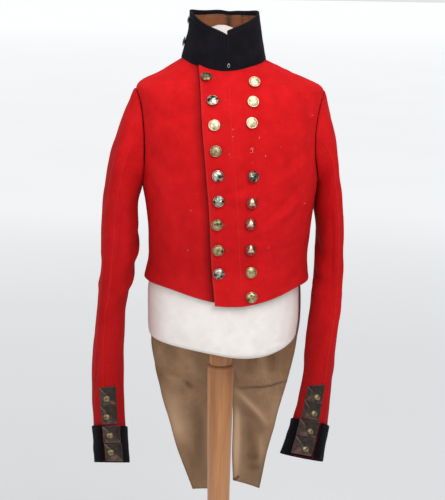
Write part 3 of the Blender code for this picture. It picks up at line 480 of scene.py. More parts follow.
def sleeve_height(turn, row, sign, points):
    """How far a sleeve's cloth moves out: folds, gathers at its head and the pressed front seam."""
    around = (math.pi / 2 - (turn + math.pi / 2) % (2 * math.pi) + math.pi / 2) * 0.048
    flat = np.stack([around, row * 0.09], -1)
    h = folds(flat, SLEEVE_FOLDS[sign], 1.55)
    away = np.exp(-((row + 1.0) / 0.75) ** 2)
    crown = ease(-0.35, 0.35, np.cos(turn))
    gathers = np.sin(21 * turn + 1.3 * np.sin(3 * turn)) + 0.5 * np.sin(34 * turn + 2.0)
    h = h + 0.00085 * gathers * away * crown * ease(-1.0, -0.82, row)
    h = h + 0.0016 * np.exp(-((row + 0.72) / 0.35) ** 2) * crown
    h = h + (0.0007 * ripple(points, 0.10, 21 + sign) + 0.0004 * ripple(points, 0.04, 31 + sign)) * ease(-1.0, -0.3, row)
    if sign < 0:
        h = h + 0.0066 * np.exp(-((row + 0.15) / 0.75) ** 2) * ease(0.1, 0.7, -np.cos(turn)) * ease(-1.0, -0.7, row)
    calm = 1 - 0.75 * ease(5.4, 6.1, row) * np.exp(-(((np.degrees(turn) - 98) / 40) ** 2))
    return h * calm


def tail_folds(sign):
    if sign > 0:
        return (
            ("ridge", 8, 2.6, ((0.0340, 0.7680), (0.0500, 0.7480), (0.0625, 0.7337), (0.0843, 0.7114), (0.1050, 0.6860))),
            ("trough", 9, 2.4, ((0.0400, 0.7420), (0.0560, 0.7220), (0.0760, 0.6980), (0.0920, 0.6720))),
            ("ridge", 9, 2.4, ((0.0414, 0.7300), (0.0430, 0.6753), (0.0420, 0.6300), (0.0500, 0.5780))),
            ("trough", 11, 3.0, ((0.0640, 0.7000), (0.0677, 0.6670), (0.0744, 0.6242), (0.0788, 0.5950))),
            ("ridge", 8, 1.8, ((0.0880, 0.6700), (0.0900, 0.6350), (0.0860, 0.6050))),
            ("trough", 5, 1.5, ((0.0600, 0.6270), (0.0740, 0.6220), (0.0880, 0.6250))),
            ("trough", 5, 1.4, ((0.0620, 0.6060), (0.0780, 0.6000), (0.0900, 0.6050))),
            ("ridge", 9, 2.2, ((0.0860, 0.8500), (0.0900, 0.8135), (0.1002, 0.7816))),
            ("trough", 8, 2.4, ((0.1068, 0.8500), (0.1085, 0.7950))),
            ("trough", 3.5, 1.3, ((0.0330, 0.8050), (0.0420, 0.7710))),
            ("trough", 12, 2.0, ((0.0500, 0.8700), (0.0650, 0.8300), (0.0680, 0.7900))),
            ("ridge", 12, 2.0, ((0.1150, 0.7600), (0.1180, 0.7250), (0.1100, 0.6900))),
            ("step", 1.6, 0.45, ((0.0300, 0.7690), (0.0522, 0.7632), (0.0727, 0.7637), (0.1025, 0.7668), (0.1197, 0.7735), (0.1480, 0.7860))),
        )
    return (
        ("trough", 5, 1.8, ((-0.0640, 0.7820), (-0.0429, 0.7621))),
        ("ridge", 7, 1.4, ((-0.1020, 0.7981), (-0.0800, 0.7850), (-0.0615, 0.7742))),
        ("ridge", 15, 2.6, ((-0.0860, 0.7600), (-0.0813, 0.7323), (-0.0722, 0.6901), (-0.0620, 0.6500))),
        ("trough", 13, 2.6, ((-0.0400, 0.7500), (-0.0379, 0.7301), (-0.0293, 0.6595), (-0.0320, 0.5985))),
        ("trough", 10, 2.2, ((-0.0900, 0.8700), (-0.0840, 0.8400), (-0.0760, 0.8150))),
        ("ridge", 9, 1.6, ((-0.1120, 0.8600), (-0.1050, 0.8300), (-0.0960, 0.8100))),
        ("trough", 9, 1.8, ((-0.1150, 0.8200), (-0.1080, 0.7950), (-0.0980, 0.7750))),
        ("ridge", 10, 1.8, ((-0.0480, 0.8300), (-0.0400, 0.8000), (-0.0300, 0.7800))),
        ("ridge", 8, 1.5, ((-0.0150, 0.7400), (-0.0120, 0.6700), (-0.0150, 0.6000))),
        ("trough", 7, 1.2, ((-0.0520, 0.6500), (-0.0450, 0.6150), (-0.0420, 0.5800))),
        ("trough", 5, 0.9, ((-0.0700, 0.7600), (-0.0520, 0.7540))),
    )


def tail_height(points, sign):
    """Folds of a tail, seen from the lining's side, so a ridge there is a trough outside."""
    flat = points[..., [0, 2]]
    low = ease(0.96, 0.90, points[..., 2])
    h = -folds(flat, tail_folds(sign), 1.8) - 0.0016 * ripple(points, 0.12, 41 + sign) - 0.0006 * ripple(points, 0.05, 51 + sign)
    return h * low


# ---------------------------------------------------------------- materials
def graph(name):
    mat = bpy.data.materials.new(name)
    mat.use_nodes = True
    tree = mat.node_tree
    return mat, tree, tree.nodes["Principled BSDF"]


def node(tree, kind, **values):
    made = tree.nodes.new(kind)
    for key, value in values.items():
        if hasattr(made, key) and key not in made.inputs:
            setattr(made, key, value)
            continue
        socket = made.inputs[int(key[1:])] if key[0] == "i" and key[1:].isdigit() else made.inputs[key]
        if isinstance(value, bpy.types.NodeSocket):
            tree.links.new(value, socket)
        else:
            socket.default_value = value
    return made


def maths(tree, how, a, b=0.0, clamp=False):
    made = node(tree, "ShaderNodeMath", operation=how, i0=a, i1=b)
    made.use_clamp = clamp
    return made.outputs[0]


def blend_colours(tree, share, a, b, how="MIX"):
    made = tree.nodes.new("ShaderNodeMix")
    made.data_type, made.blend_type = "RGBA", how
    for k, v in ((0, share), (6, a), (7, b)):
        if isinstance(v, bpy.types.NodeSocket):
            tree.links.new(v, made.inputs[k])
        else:
            made.inputs[k].default_value = v
    return made.outputs[2]


def noise(tree, where, scale, detail=3.0, rough=0.55, stretch=None):
    if stretch is not None:
        where = node(tree, "ShaderNodeMapping", Vector=where, Scale=stretch).outputs[0]
    return node(tree, "ShaderNodeTexNoise", Vector=where, Scale=scale, Detail=detail, Roughness=rough).outputs[0]


def spread(tree, value, low, high, to_low=0.0, to_high=1.0):
    made = tree.nodes.new("ShaderNodeMapRange")
    tree.links.new(value, made.inputs[0])
    for k, v in zip((1, 2, 3, 4), (low, high, to_low, to_high)):
        made.inputs[k].default_value = v
    return made.outputs[0]


def attribute(tree, name):
    return node(tree, "ShaderNodeAttribute", attribute_name=name).outputs["Fac"]


def rgba(r, g, b):
    return (r, g, b, 1.0)


def put_bump(tree, shader, height, strength, distance):
    made = node(tree, "ShaderNodeBump", Height=height, Strength=strength, Distance=distance)
    tree.links.new(made.outputs[0], shader.inputs["Normal"])


def wool(name, dark, mid, light, worn_and_highlight, sheen, sheen_tint, grime_and_painted_light, gloss):
    """Milled woollen cloth: mottled dye, short nap, faint twill under it, paler worn edges and grime; the wear
    attribute also paints highlights and the grime attribute also paints shade.
    """
    mat, tree, shader = graph(name)
    where = node(tree, "ShaderNodeTexCoord").outputs["Object"]
    broad = noise(tree, where, 7.0, 3.0)
    patch = noise(tree, where, 48.0, 4.0)
    nap = noise(tree, where, 620.0, 3.0, 0.7)
    fibre = noise(tree, where, 1500.0, 2.0, 0.6, (1.0, 1.0, 0.35))
    shade = maths(tree, "ADD", maths(tree, "MULTIPLY", broad, 0.42), maths(tree, "MULTIPLY", patch, 0.33))
    shade = maths(tree, "ADD", shade, maths(tree, "MULTIPLY", nap, 0.25))
    colour = blend_colours(tree, spread(tree, shade, 0.34, 0.52), dark, mid)
    colour = blend_colours(tree, spread(tree, shade, 0.50, 0.68), colour, light)
    lint = spread(tree, noise(tree, where, 240.0, 1.0, 0.4), 0.735, 0.80)
    colour = blend_colours(tree, maths(tree, "MULTIPLY", lint, 0.35), colour, worn_and_highlight)
    colour = blend_colours(tree, maths(tree, "MULTIPLY", attribute(tree, "wear_and_painted_highlight"), spread(tree, patch, 0.3, 0.7, 0.55, 1.0), True), colour, worn_and_highlight)
    colour = blend_colours(tree, attribute(tree, "grime_and_painted_light"), colour, grime_and_painted_light)
    tree.links.new(colour, shader.inputs["Base Color"])
    twill = node(tree, "ShaderNodeTexWave", Vector=node(tree, "ShaderNodeMapping", Vector=where, Rotation=(0.0, math.radians(52), 0.0)).outputs[0], Scale=230.0, Distortion=1.2, Detail=1.0).outputs[1]
    height = maths(tree, "ADD", maths(tree, "MULTIPLY", nap, 0.7), maths(tree, "MULTIPLY", fibre, 0.5))
    height = maths(tree, "ADD", height, maths(tree, "MULTIPLY", twill, 0.12))
    put_bump(tree, shader, height, 0.42, 0.0006)
    tree.links.new(spread(tree, nap, 0.3, 0.7, 0.82, 0.97), shader.inputs["Roughness"])
    shader.inputs["Specular IOR Level"].default_value = gloss
    shader.inputs["Sheen Weight"].default_value = sheen
    shader.inputs["Sheen Roughness"].default_value = 0.45
    shader.inputs["Sheen Tint"].default_value = sheen_tint
    return mat


def twill_lining(name, dark, mid, light, stain_and_shade):
    """A fine twill lining with soft sheen and stains; its lighter folds and darker troughs are painted highlight and
    painted shade.
    """
    mat, tree, shader = graph(name)
    where = node(tree, "ShaderNodeTexCoord").outputs["Object"]
    broad = noise(tree, where, 6.0, 3.0, 0.5, (1.0, 1.0, 0.4))
    patch = noise(tree, where, 70.0, 5.0)
    thread = noise(tree, where, 900.0, 2.0, 0.6, (1.0, 1.0, 0.2))
    ribs = node(tree, "ShaderNodeTexWave", Vector=node(tree, "ShaderNodeMapping", Vector=where, Rotation=(0.0, math.radians(38), 0.0)).outputs[0], Scale=330.0, Distortion=0.8, Detail=1.0).outputs[1]
    shade = maths(tree, "ADD", maths(tree, "MULTIPLY", broad, 0.60), maths(tree, "MULTIPLY", patch, 0.22))
    shade = maths(tree, "ADD", shade, maths(tree, "MULTIPLY", thread, 0.18))
    colour = blend_colours(tree, spread(tree, shade, 0.32, 0.54), dark, mid)
    colour = blend_colours(tree, spread(tree, shade, 0.50, 0.74), colour, light)
    # Paler with the wear attribute: painted highlight on fold ridges. Darker with the grime attribute: stains and
    # painted shade.
    colour = blend_colours(tree, maths(tree, "MULTIPLY", attribute(tree, "wear_and_painted_highlight"), 0.9), colour, light)
    colour = blend_colours(tree, attribute(tree, "grime_and_painted_light"), colour, stain_and_shade)
    tree.links.new(colour, shader.inputs["Base Color"])
    height = maths(tree, "ADD", maths(tree, "MULTIPLY", ribs, 0.5), maths(tree, "MULTIPLY", thread, 0.6))
    put_bump(tree, shader, height, 0.30, 0.0004)
    tree.links.new(spread(tree, patch, 0.3, 0.7, 0.58, 0.78), shader.inputs["Roughness"])
    shader.inputs["Specular IOR Level"].default_value = 0.35
    shader.inputs["Sheen Weight"].default_value = 0.18
    shader.inputs["Sheen Roughness"].default_value = 0.4
    return mat


def lace_material():
    """Tarnished metal lace: ribs run along each mitred side; the lower mitre and the left side are painted paler as lit
    facets (painted light), and the lower mitre lines carry painted highlights.
    """
    mat, tree, shader = graph("tarnished_lace_with_painted_facet_light")
    where = node(tree, "ShaderNodeTexCoord").outputs["Object"]
    across, down = attribute(tree, "lace_a"), attribute(tree, "lace_b")
    aa, bb = maths(tree, "ABSOLUTE", across), maths(tree, "ABSOLUTE", down)
    ring = maths(tree, "MAXIMUM", aa, bb)
    run = maths(tree, "MINIMUM", aa, bb)
    ribs = maths(tree, "SINE", maths(tree, "MULTIPLY", ring, 44.0))
    bars = maths(tree, "SINE", maths(tree, "MULTIPLY", run, 70.0))
    # Lower facet and left side painted paler as lit facets: painted light, broken up by tarnish blotches.
    lower = spread(tree, maths(tree, "SUBTRACT", maths(tree, "MULTIPLY", down, -1.0), aa), -0.10, 0.12)
    left = spread(tree, maths(tree, "SUBTRACT", maths(tree, "MULTIPLY", across, -1.0), bb), -0.03, 0.05)
    patch = noise(tree, where, 150.0, 4.0)
    blotch = noise(tree, where, 85.0, 3.0)
    lower = maths(tree, "MULTIPLY", lower, spread(tree, blotch, 0.40, 0.58, 0.30, 1.0))
    fine = noise(tree, where, 1200.0, 2.0)
    shade = maths(tree, "ADD", maths(tree, "MULTIPLY", ribs, 0.22), maths(tree, "MULTIPLY", bars, 0.10))
    shade = maths(tree, "ADD", shade, maths(tree, "MULTIPLY", patch, 1.50))
    shade = maths(tree, "ADD", shade, maths(tree, "MULTIPLY", fine, 0.25))
    colour = blend_colours(tree, spread(tree, shade, 0.55, 1.25), rgba(0.0060, 0.0054, 0.0044), rgba(0.052, 0.034, 0.026))
    pale = blend_colours(tree, spread(tree, shade, 0.50, 1.30), rgba(0.036, 0.019, 0.015), rgba(0.200, 0.118, 0.094))
    colour = blend_colours(tree, lower, colour, pale)
    colour = blend_colours(tree, maths(tree, "MULTIPLY", left, 0.35), colour, pale)
    # Bright lines along the lower mitres: painted highlights.
    mitre = spread(tree, maths(tree, "ABSOLUTE", maths(tree, "SUBTRACT", aa, bb)), 0.02, 0.09, 1.0, 0.0)
    mitre = maths(tree, "MULTIPLY", mitre, spread(tree, maths(tree, "SUBTRACT", down, across), 0.2, 1.3))
    colour = blend_colours(tree, maths(tree, "MULTIPLY", mitre, 0.7), colour, rgba(0.26, 0.19, 0.17))
    colour = blend_colours(tree, maths(tree, "MULTIPLY", attribute(tree, "wear_and_painted_highlight"), 0.30), colour, rgba(0.15, 0.11, 0.09))
    tree.links.new(colour, shader.inputs["Base Color"])
    height = maths(tree, "ADD", ribs, maths(tree, "MULTIPLY", bars, 0.6))
    height = maths(tree, "ADD", height, maths(tree, "MULTIPLY", fine, 0.6))
    put_bump(tree, shader, height, 0.55, 0.0004)
    tree.links.new(spread(tree, patch, 0.3, 0.7, 0.46, 0.68), shader.inputs["Roughness"])
    shader.inputs["Metallic"].default_value = 0.30
    shader.inputs["Specular IOR Level"].default_value = 0.3
    return mat


def gilt(name, bright, dull, tarnish_and_reflection_colour, tarnish, rough_low, rough_high):
    """Worn gilt brass: bright on the dome, tarnish in the relief and in patches; where the tarnish colour is red, as on
    the copper finish, it is a painted reflection of the scarlet cloth.
    """
    mat, tree, shader = graph(name)
    where = node(tree, "ShaderNodeTexCoord").outputs["Object"]
    patch = noise(tree, where, 260.0, 4.0)
    fine = noise(tree, where, 1800.0, 2.0)
    colour = blend_colours(tree, spread(tree, patch, 0.38, 0.64), bright, dull)
    tarnish_and_reflection_mask = maths(tree, "ADD", attribute(tree, "grime_and_painted_light"), maths(tree, "MULTIPLY", spread(tree, patch, 0.50, 0.72), tarnish), True)
    colour = blend_colours(tree, tarnish_and_reflection_mask, colour, tarnish_and_reflection_colour)
    tree.links.new(colour, shader.inputs["Base Color"])
    tree.links.new(spread(tree, maths(tree, "ADD", maths(tree, "MULTIPLY", patch, 0.7), maths(tree, "MULTIPLY", fine, 0.3)), 0.3, 0.7, rough_low, rough_high), shader.inputs["Roughness"])
    put_bump(tree, shader, maths(tree, "ADD", fine, patch), 0.12, 0.0003)
    shader.inputs["Metallic"].default_value = 1.0
    return mat


def horn(name):
    mat, tree, shader = graph(name)
    where = node(tree, "ShaderNodeTexCoord").outputs["Object"]
    streak = noise(tree, where, 180.0, 4.0, 0.6, (1.0, 1.0, 3.0))
    tree.links.new(blend_colours(tree, spread(tree, streak, 0.35, 0.65), rgba(0.006, 0.006, 0.008), rgba(0.030, 0.024, 0.022)), shader.inputs["Base Color"])
    tree.links.new(spread(tree, streak, 0.3, 0.7, 0.28, 0.45), shader.inputs["Roughness"])
    return mat


def jersey(name):
    """The form's cream cotton cover: fine knit, faint yellowing and soil near the lower edge; its grime attribute also
    paints shade along the turned lower edge and on the underside.
    """
    mat, tree, shader = graph(name)
    where = node(tree, "ShaderNodeTexCoord").outputs["Object"]
    broad = noise(tree, where, 9.0, 3.0)
    patch = noise(tree, where, 60.0, 4.0)
    knit = node(tree, "ShaderNodeTexWave", Vector=where, Scale=260.0, Distortion=0.6, Detail=1.0).outputs[1]
    thread = noise(tree, where, 1300.0, 2.0)
    shade = maths(tree, "ADD", maths(tree, "MULTIPLY", broad, 0.6), maths(tree, "MULTIPLY", patch, 0.4))
    colour = blend_colours(tree, spread(tree, shade, 0.38, 0.62), rgba(0.775, 0.725, 0.680), rgba(0.865, 0.825, 0.790))
    colour = blend_colours(tree, attribute(tree, "grime_and_painted_light"), colour, rgba(0.52, 0.46, 0.42))
    tree.links.new(colour, shader.inputs["Base Color"])
    put_bump(tree, shader, maths(tree, "ADD", maths(tree, "MULTIPLY", knit, 0.4), maths(tree, "MULTIPLY", thread, 0.7)), 0.22, 0.0004)
    tree.links.new(spread(tree, patch, 0.3, 0.7, 0.80, 0.95), shader.inputs["Roughness"])
    shader.inputs["Sheen Weight"].default_value = 0.12
    shader.inputs["Specular IOR Level"].default_value = 0.3
    return mat


def timber(name, stretch):
    """Turned pale hardwood with long grain, small dark flecks and a satin varnish."""
    mat, tree, shader = graph(name)
    where = node(tree, "ShaderNodeTexCoord").outputs["Object"]
    grain = noise(tree, where, 1.0, 5.0, 0.6, stretch)
    fine = noise(tree, where, 4.0, 4.0, 0.65, stretch)
    fleck = spread(tree, noise(tree, where, 3.2, 2.0, 0.5, tuple(s * 1.3 for s in stretch)), 0.62, 0.74)
    broad = noise(tree, where, 6.0, 2.0)
    colour = blend_colours(tree, spread(tree, grain, 0.34, 0.66), rgba(0.345, 0.128, 0.036), rgba(0.555, 0.245, 0.084))
    colour = blend_colours(tree, maths(tree, "MULTIPLY", spread(tree, fine, 0.4, 0.7), 0.45), colour, rgba(0.61, 0.295, 0.112))
    colour = blend_colours(tree, maths(tree, "MULTIPLY", fleck, 0.45), colour, rgba(0.185, 0.075, 0.028))
    colour = blend_colours(tree, maths(tree, "MULTIPLY", spread(tree, broad, 0.35, 0.65), 0.30), colour, rgba(0.43, 0.172, 0.058))
    colour = blend_colours(tree, attribute(tree, "grime_and_painted_light"), colour, rgba(0.10, 0.045, 0.02))
    tree.links.new(colour, shader.inputs["Base Color"])
    put_bump(tree, shader, maths(tree, "ADD", grain, maths(tree, "MULTIPLY", fine, 0.5)), 0.10, 0.0006)
    tree.links.new(spread(tree, fine, 0.3, 0.7, 0.34, 0.50), shader.inputs["Roughness"])
    shader.inputs["Coat Weight"].default_value = 0.35
    shader.inputs["Coat Roughness"].default_value = 0.3
    return mat


def thread(name, dark, light):
    mat, tree, shader = graph(name)
    where = node(tree, "ShaderNodeTexCoord").outputs["Object"]
    twist = noise(tree, where, 1400.0, 2.0)
    tree.links.new(blend_colours(tree, spread(tree, twist, 0.35, 0.65), dark, light), shader.inputs["Base Color"])
    put_bump(tree, shader, twist, 0.3, 0.0002)
    shader.inputs["Roughness"].default_value = 0.7
    return mat


# The scarlet's grime colour also paints shade: beside the lap edge, towards the hem and down the sleeves.
SCARLET = wool("scarlet_wool", rgba(0.450, 0.0050, 0.0068), rgba(0.570, 0.0078, 0.0102), rgba(0.655, 0.0118, 0.0145), rgba(0.70, 0.075, 0.060), 0.05, rgba(1.0, 0.16, 0.14), rgba(0.150, 0.0030, 0.0036), 0.07)
NAVY = wool("navy_wool", rgba(0.0042, 0.0039, 0.0054), rgba(0.0078, 0.0070, 0.0098), rgba(0.0125, 0.0116, 0.0155), rgba(0.030, 0.026, 0.029), 0.03, rgba(0.60, 0.62, 0.80), rgba(0.0022, 0.0021, 0.0030), 0.05)
# The linings' stain colours also paint shade, on the tail linings and deep in the collar; the tan's light colour paints
# highlights on fold ridges.
TAN = twill_lining("tan_twill", rgba(0.270, 0.158, 0.084), rgba(0.420, 0.258, 0.142), rgba(0.620, 0.420, 0.255), rgba(0.110, 0.060, 0.030))
BROWN = twill_lining("brown_collar_twill", rgba(0.115, 0.031, 0.008), rgba(0.200, 0.058, 0.017), rgba(0.310, 0.105, 0.034), rgba(0.034, 0.012, 0.006))
LACE_WEAVE = lace_material()
GILT = gilt("worn_gilt", rgba(0.96, 0.87, 0.60), rgba(0.84, 0.70, 0.40), rgba(0.16, 0.12, 0.060), 0.10, 0.34, 0.48)
DULL_GILT = gilt("dull_gilt", rgba(0.58, 0.46, 0.24), rgba(0.40, 0.31, 0.16), rgba(0.045, 0.038, 0.024), 0.40, 0.34, 0.52)
WORN_SILVER = gilt("worn_plate", rgba(0.80, 0.76, 0.64), rgba(0.50, 0.46, 0.36), rgba(0.020, 0.024, 0.018), 0.30, 0.22, 0.36)
# The red tarnish colour of this finish is a painted reflection of the scarlet cloth.
COPPER_GILT_RED_REFLECTION = gilt("gilt_copper_with_painted_red_reflection", rgba(0.90, 0.80, 0.62), rgba(0.52, 0.34, 0.22), rgba(0.200, 0.018, 0.014), 0.12, 0.32, 0.46)
HORN = horn("dark_horn_polished")
JERSEY = jersey("cream_jersey_knit")
WOOD_UP = timber("varnished_wood_pole", (34.0, 34.0, 1.6))
WOOD_FLAT = timber("varnished_wood_base", (2.0, 30.0, 30.0))
RED_THREAD = thread("red_thread", rgba(0.30, 0.010, 0.012), rgba(0.52, 0.030, 0.030))
NAVY_THREAD = thread("navy_thread", rgba(0.006, 0.006, 0.008), rgba(0.016, 0.0155, 0.019))
TAN_THREAD = thread("tan_thread", rgba(0.26, 0.16, 0.09), rgba(0.44, 0.30, 0.18))
PALE_THREAD = thread("pale_thread", rgba(0.66, 0.42, 0.36), rgba(0.80, 0.60, 0.52))
HOLE_THREAD = thread("buttonhole_thread", rgba(0.27, 0.007, 0.009), rgba(0.42, 0.014, 0.016))
FINE_THREAD = thread("fine_red_thread", rgba(0.52, 0.020, 0.020), rgba(0.66, 0.050, 0.045))
STEEL = gilt("hook_wire", rgba(0.62, 0.58, 0.50), rgba(0.40, 0.36, 0.30), rgba(0.08, 0.06, 0.05), 0.3, 0.25, 0.40)


# ---------------------------------------------------------------- meshes
def add(name, verts, faces, material, marks=None, nodes=(), smooth=True):
    """One piece of the object; marks are its per-point attributes."""
    mesh = bpy.data.meshes.new(name)
    mesh.from_pydata(np.asarray(verts, float).tolist(), [], [list(map(int, f)) for f in faces])
    if smooth:
        mesh.shade_smooth()
    for key, values in {"wear_and_painted_highlight": None, "grime_and_painted_light": None, **(marks or {})}.items():
        made = mesh.attributes.new(key, "FLOAT", "POINT")
        if values is not None:
            made.data.foreach_set("value", np.clip(np.asarray(values, np.float32), -2, 2))
    mesh.materials.append(material)
    made = bpy.data.objects.new(name, mesh)
    bpy.context.scene.collection.objects.link(made)
    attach(made, "root")
    if nodes:
        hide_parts(*nodes)
    return made


def perimeter(nu, nv):
    """Indices round an open grid, in order."""
    return (
        [(i, 0) for i in range(nu)] + [(nu - 1, j) for j in range(1, nv)]
        + [(i, nv - 1) for i in range(nu - 2, -1, -1)] + [(0, j) for j in range(nv - 2, 0, -1)]
    )


def shell(outer, inner, closed=False, bulge=0.0007):
    """A wall between two grids with a rounded rim.  Returns points, faces and each point's (i, j)."""
    nu, nv = outer.shape[:2]
    i, j = np.meshgrid(np.arange(nu), np.arange(nv), indexing="ij")
    index = np.arange(nu * nv).reshape(nu, nv)
    half = nu * nv
    if closed:
        a, b = index, np.roll(index, -1, 0)
    else:
        a, b = index[:-1], index[1:]
    quads = np.stack([a[:, :-1], b[:, :-1], b[:, 1:], a[:, 1:]], -1).reshape(-1, 4)
    faces = [quads, quads[:, ::-1] + half]
    points = [outer.reshape(-1, 3), inner.reshape(-1, 3)]
    where = [np.stack([i.ravel(), j.ravel()], -1)] * 2
    loops = (
        [[(k, 0) for k in range(nu)], [(k, nv - 1) for k in range(nu - 1, -1, -1)]] if closed else [perimeter(nu, nv)]
    )
    count = 2 * half
    for loop in loops:
        li = np.array([p[0] for p in loop])
        lj = np.array([p[1] for p in loop])
        ring = index[li, lj]
        out = np.zeros((len(loop), 3))
        mid = (outer + inner) / 2
        for mask, step in (
            (lj == 0, (0, 1)), (lj == nv - 1, (0, -1)), ((li == 0) & (not closed), (1, 0)), ((li == nu - 1) & (not closed), (-1, 0)),
        ):
            if mask.any():
                out[mask] += unit(mid[li[mask], lj[mask]] - mid[li[mask] + step[0], lj[mask] + step[1]])
        rim = mid[li, lj] + unit(out) * bulge
        points.append(rim)
        where.append(np.stack([li, lj], -1))
        rims = count + np.arange(len(loop))
        nxt = np.roll(np.arange(len(loop)), -1)
        faces.append(np.stack([ring[nxt], ring, rims, rims[nxt]], -1))
        faces.append(np.stack([rims[nxt], rims, ring + half, ring[nxt] + half], -1))
        count += len(loop)
    return np.concatenate(points), np.concatenate(faces), np.concatenate(where)


def outward_faces(points, faces):
    """Turn a closed mesh's faces so that its volume is positive."""
    p = points[faces]
    volume = (p[:, 0] * np.cross(p[:, 1], p[:, 2])).sum() + (p[:, 0] * np.cross(p[:, 2], p[:, 3])).sum()
    return faces if volume > 0 else faces[:, ::-1]


def cloth(name, outer, inner, material, nodes, closed=False, bulge=0.0007, wear_and_painted_highlight=None, grime_and_painted_light=None, extra=None):
    points, faces, where = shell(outer, inner, closed, bulge)
    faces = outward_faces(points, faces)
    take = (where[:, 0], where[:, 1])
    marks = {k: v[take] for k, v in {"wear_and_painted_highlight": wear_and_painted_highlight, "grime_and_painted_light": grime_and_painted_light, **(extra or {})}.items() if v is not None}
    return add(name, points, faces, material, marks, nodes)


def rods(name, starts, ends, radius, material, sides=6):
    """Many short rounded rods in one mesh, for stitches and thread ends."""
    verts, faces, base = [], [], 0
    for a, b in zip(np.asarray(starts), np.asarray(ends)):
        d = b - a
        length = np.linalg.norm(d)
        if length < 1e-7:
            continue
        d = d / length
        x = unit(np.cross(d, (0.31, 0.52, 0.79)))
        y = np.cross(d, x)
        rings = ((0.0, 0.35), (0.22, 0.9), (0.5, 1.0), (0.78, 0.9), (1.0, 0.35))
        for s, r in rings:
            for k in range(sides):
                t = 2 * math.pi * k / sides
                verts.append(a + d * length * s + (x * math.cos(t) + y * math.sin(t)) * radius * r)
        for q in range(len(rings) - 1):
            for k in range(sides):
                n = (k + 1) % sides
                faces.append((base + q * sides + k, base + q * sides + n, base + (q + 1) * sides + n, base + (q + 1) * sides + k))
        faces.append(tuple(base + k for k in range(sides))[::-1])
        faces.append(tuple(base + (len(rings) - 1) * sides + k for k in range(sides)))
        base += len(rings) * sides
    return add(name, verts, faces, material, None, ())


def tube(path, radius, sides=8, closed=False):
    """Points and faces of a round tube along a path."""
    path = np.asarray(path, float)
    if closed:
        tangent = np.roll(path, -1, 0) - np.roll(path, 1, 0)
    else:
        tangent = np.gradient(path, axis=0)
    tangent = unit(tangent)
    radius = np.broadcast_to(np.asarray(radius, float), (len(path),))
    x = unit(np.cross(tangent[0], (0.21, 0.37, 0.91)))
    verts, faces = [], []
    for k in range(len(path)):
        x = unit(x - tangent[k] * (x @ tangent[k]))
        y = np.cross(tangent[k], x)
        for q in range(sides):
            t = 2 * math.pi * q / sides
            verts.append(path[k] + (x * math.cos(t) + y * math.sin(t)) * radius[k])
    n = len(path)
    for k in range(n if closed else n - 1):
        for q in range(sides):
            a, b = k * sides, ((k + 1) % n) * sides
            faces.append((a + q, a + (q + 1) % sides, b + (q + 1) % sides, b + q))
    if not closed:
        faces.append(tuple(range(sides))[::-1])
        faces.append(tuple((n - 1) * sides + q for q in range(sides)))
    return verts, faces


def evenly(points, normals, pitch):
    """Points and normals at an even pitch along a line of points."""
    s = np.r_[0, np.cumsum(np.linalg.norm(np.diff(points, axis=0), axis=1))]
    at = np.arange(pitch / 2, s[-1], pitch)
    p = np.stack([np.interp(at, s, points[:, k]) for k in range(3)], -1)
    n = unit(np.stack([np.interp(at, s, normals[:, k]) for k in range(3)], -1))
    return p, n


def stitches(name, points, normals, material, pitch=0.0042, length=0.0024, radius=0.00032, sink=0.0):
    p, n = evenly(np.asarray(points), np.asarray(normals), pitch)
    t = unit(np.gradient(p, axis=0))
    p = p + n * (radius * 0.35 - sink)
    return rods(name, p - t * length / 2, p + t * length / 2, radius, material)


# ---------------------------------------------------------------- coat body
def body_levels(low, arm, high):
    mid, half = (UNDERARM + SHOULDER) / 2, (SHOULDER - UNDERARM) / 2
    return np.concatenate(
        [
            np.linspace(0, UNDERARM, low, endpoint=False),
            mid - half * np.cos(np.linspace(0, math.pi, arm)),
            np.linspace(SHOULDER, NECK, high + 1)[1:],
        ]
    )


SEAM = 0.0001


def seam_step(row):
    return SEAM / np.maximum(by_row(TORSO, TORSO_COLUMNS, "half_width", row), 0.06)


def side_edge(row, reach, side):
    return armhole_foot(row) + side * (reach * armhole(row) + seam_step(row))


def lap_edge_x(row):
    z_mid = by_row(TORSO, TORSO_COLUMNS, "z_front", row)
    return through(column(EDGE, EDGE_COLUMNS, "z"), column(EDGE, EDGE_COLUMNS, "x"), z_mid)


def distance_from(points, line_u=None, line_v=None):
    """Length along a grid from its first (0) or last (-1) line."""
    axis = 0 if line_u is not None else 1
    step = np.linalg.norm(np.diff(points, axis=axis), axis=-1)
    total = np.cumsum(step, axis=axis)
    total = np.concatenate([np.zeros_like(np.take(total, [0], axis)), total], axis)
    end = line_u if axis == 0 else line_v
    return total if end == 0 else np.take(total, [-1], axis) - total


def seam_pucker(distance, where, amount=0.00028):
    """Little waves beside a sewn seam."""
    return amount * np.exp(-(distance / 0.009) ** 2) * np.sin(where * 2 * math.pi / 0.0095 + 2.0 * np.sin(where * 55))


def specks(flat, spots, radius):
    total = np.zeros(flat.shape[:-1])
    for x, z in spots:
        d2 = (flat[..., 0] - x) ** 2 + (flat[..., 1] - z) ** 2
        total = np.maximum(total, np.exp(-d2 / radius ** 2))
    return total


MOTH_MARKS = (
    (-0.0670, 1.0756), (-0.0628, 1.1463), (0.0696, 1.0830), (0.0060, 1.2841), (0.0063, 1.2724), (0.0000, 1.2437),
    (0.0609, 1.2408), (0.0501, 1.2711), (0.1422, 1.3056), (0.1329, 1.1560),
)
ROWS = body_levels(86, 62, 44)


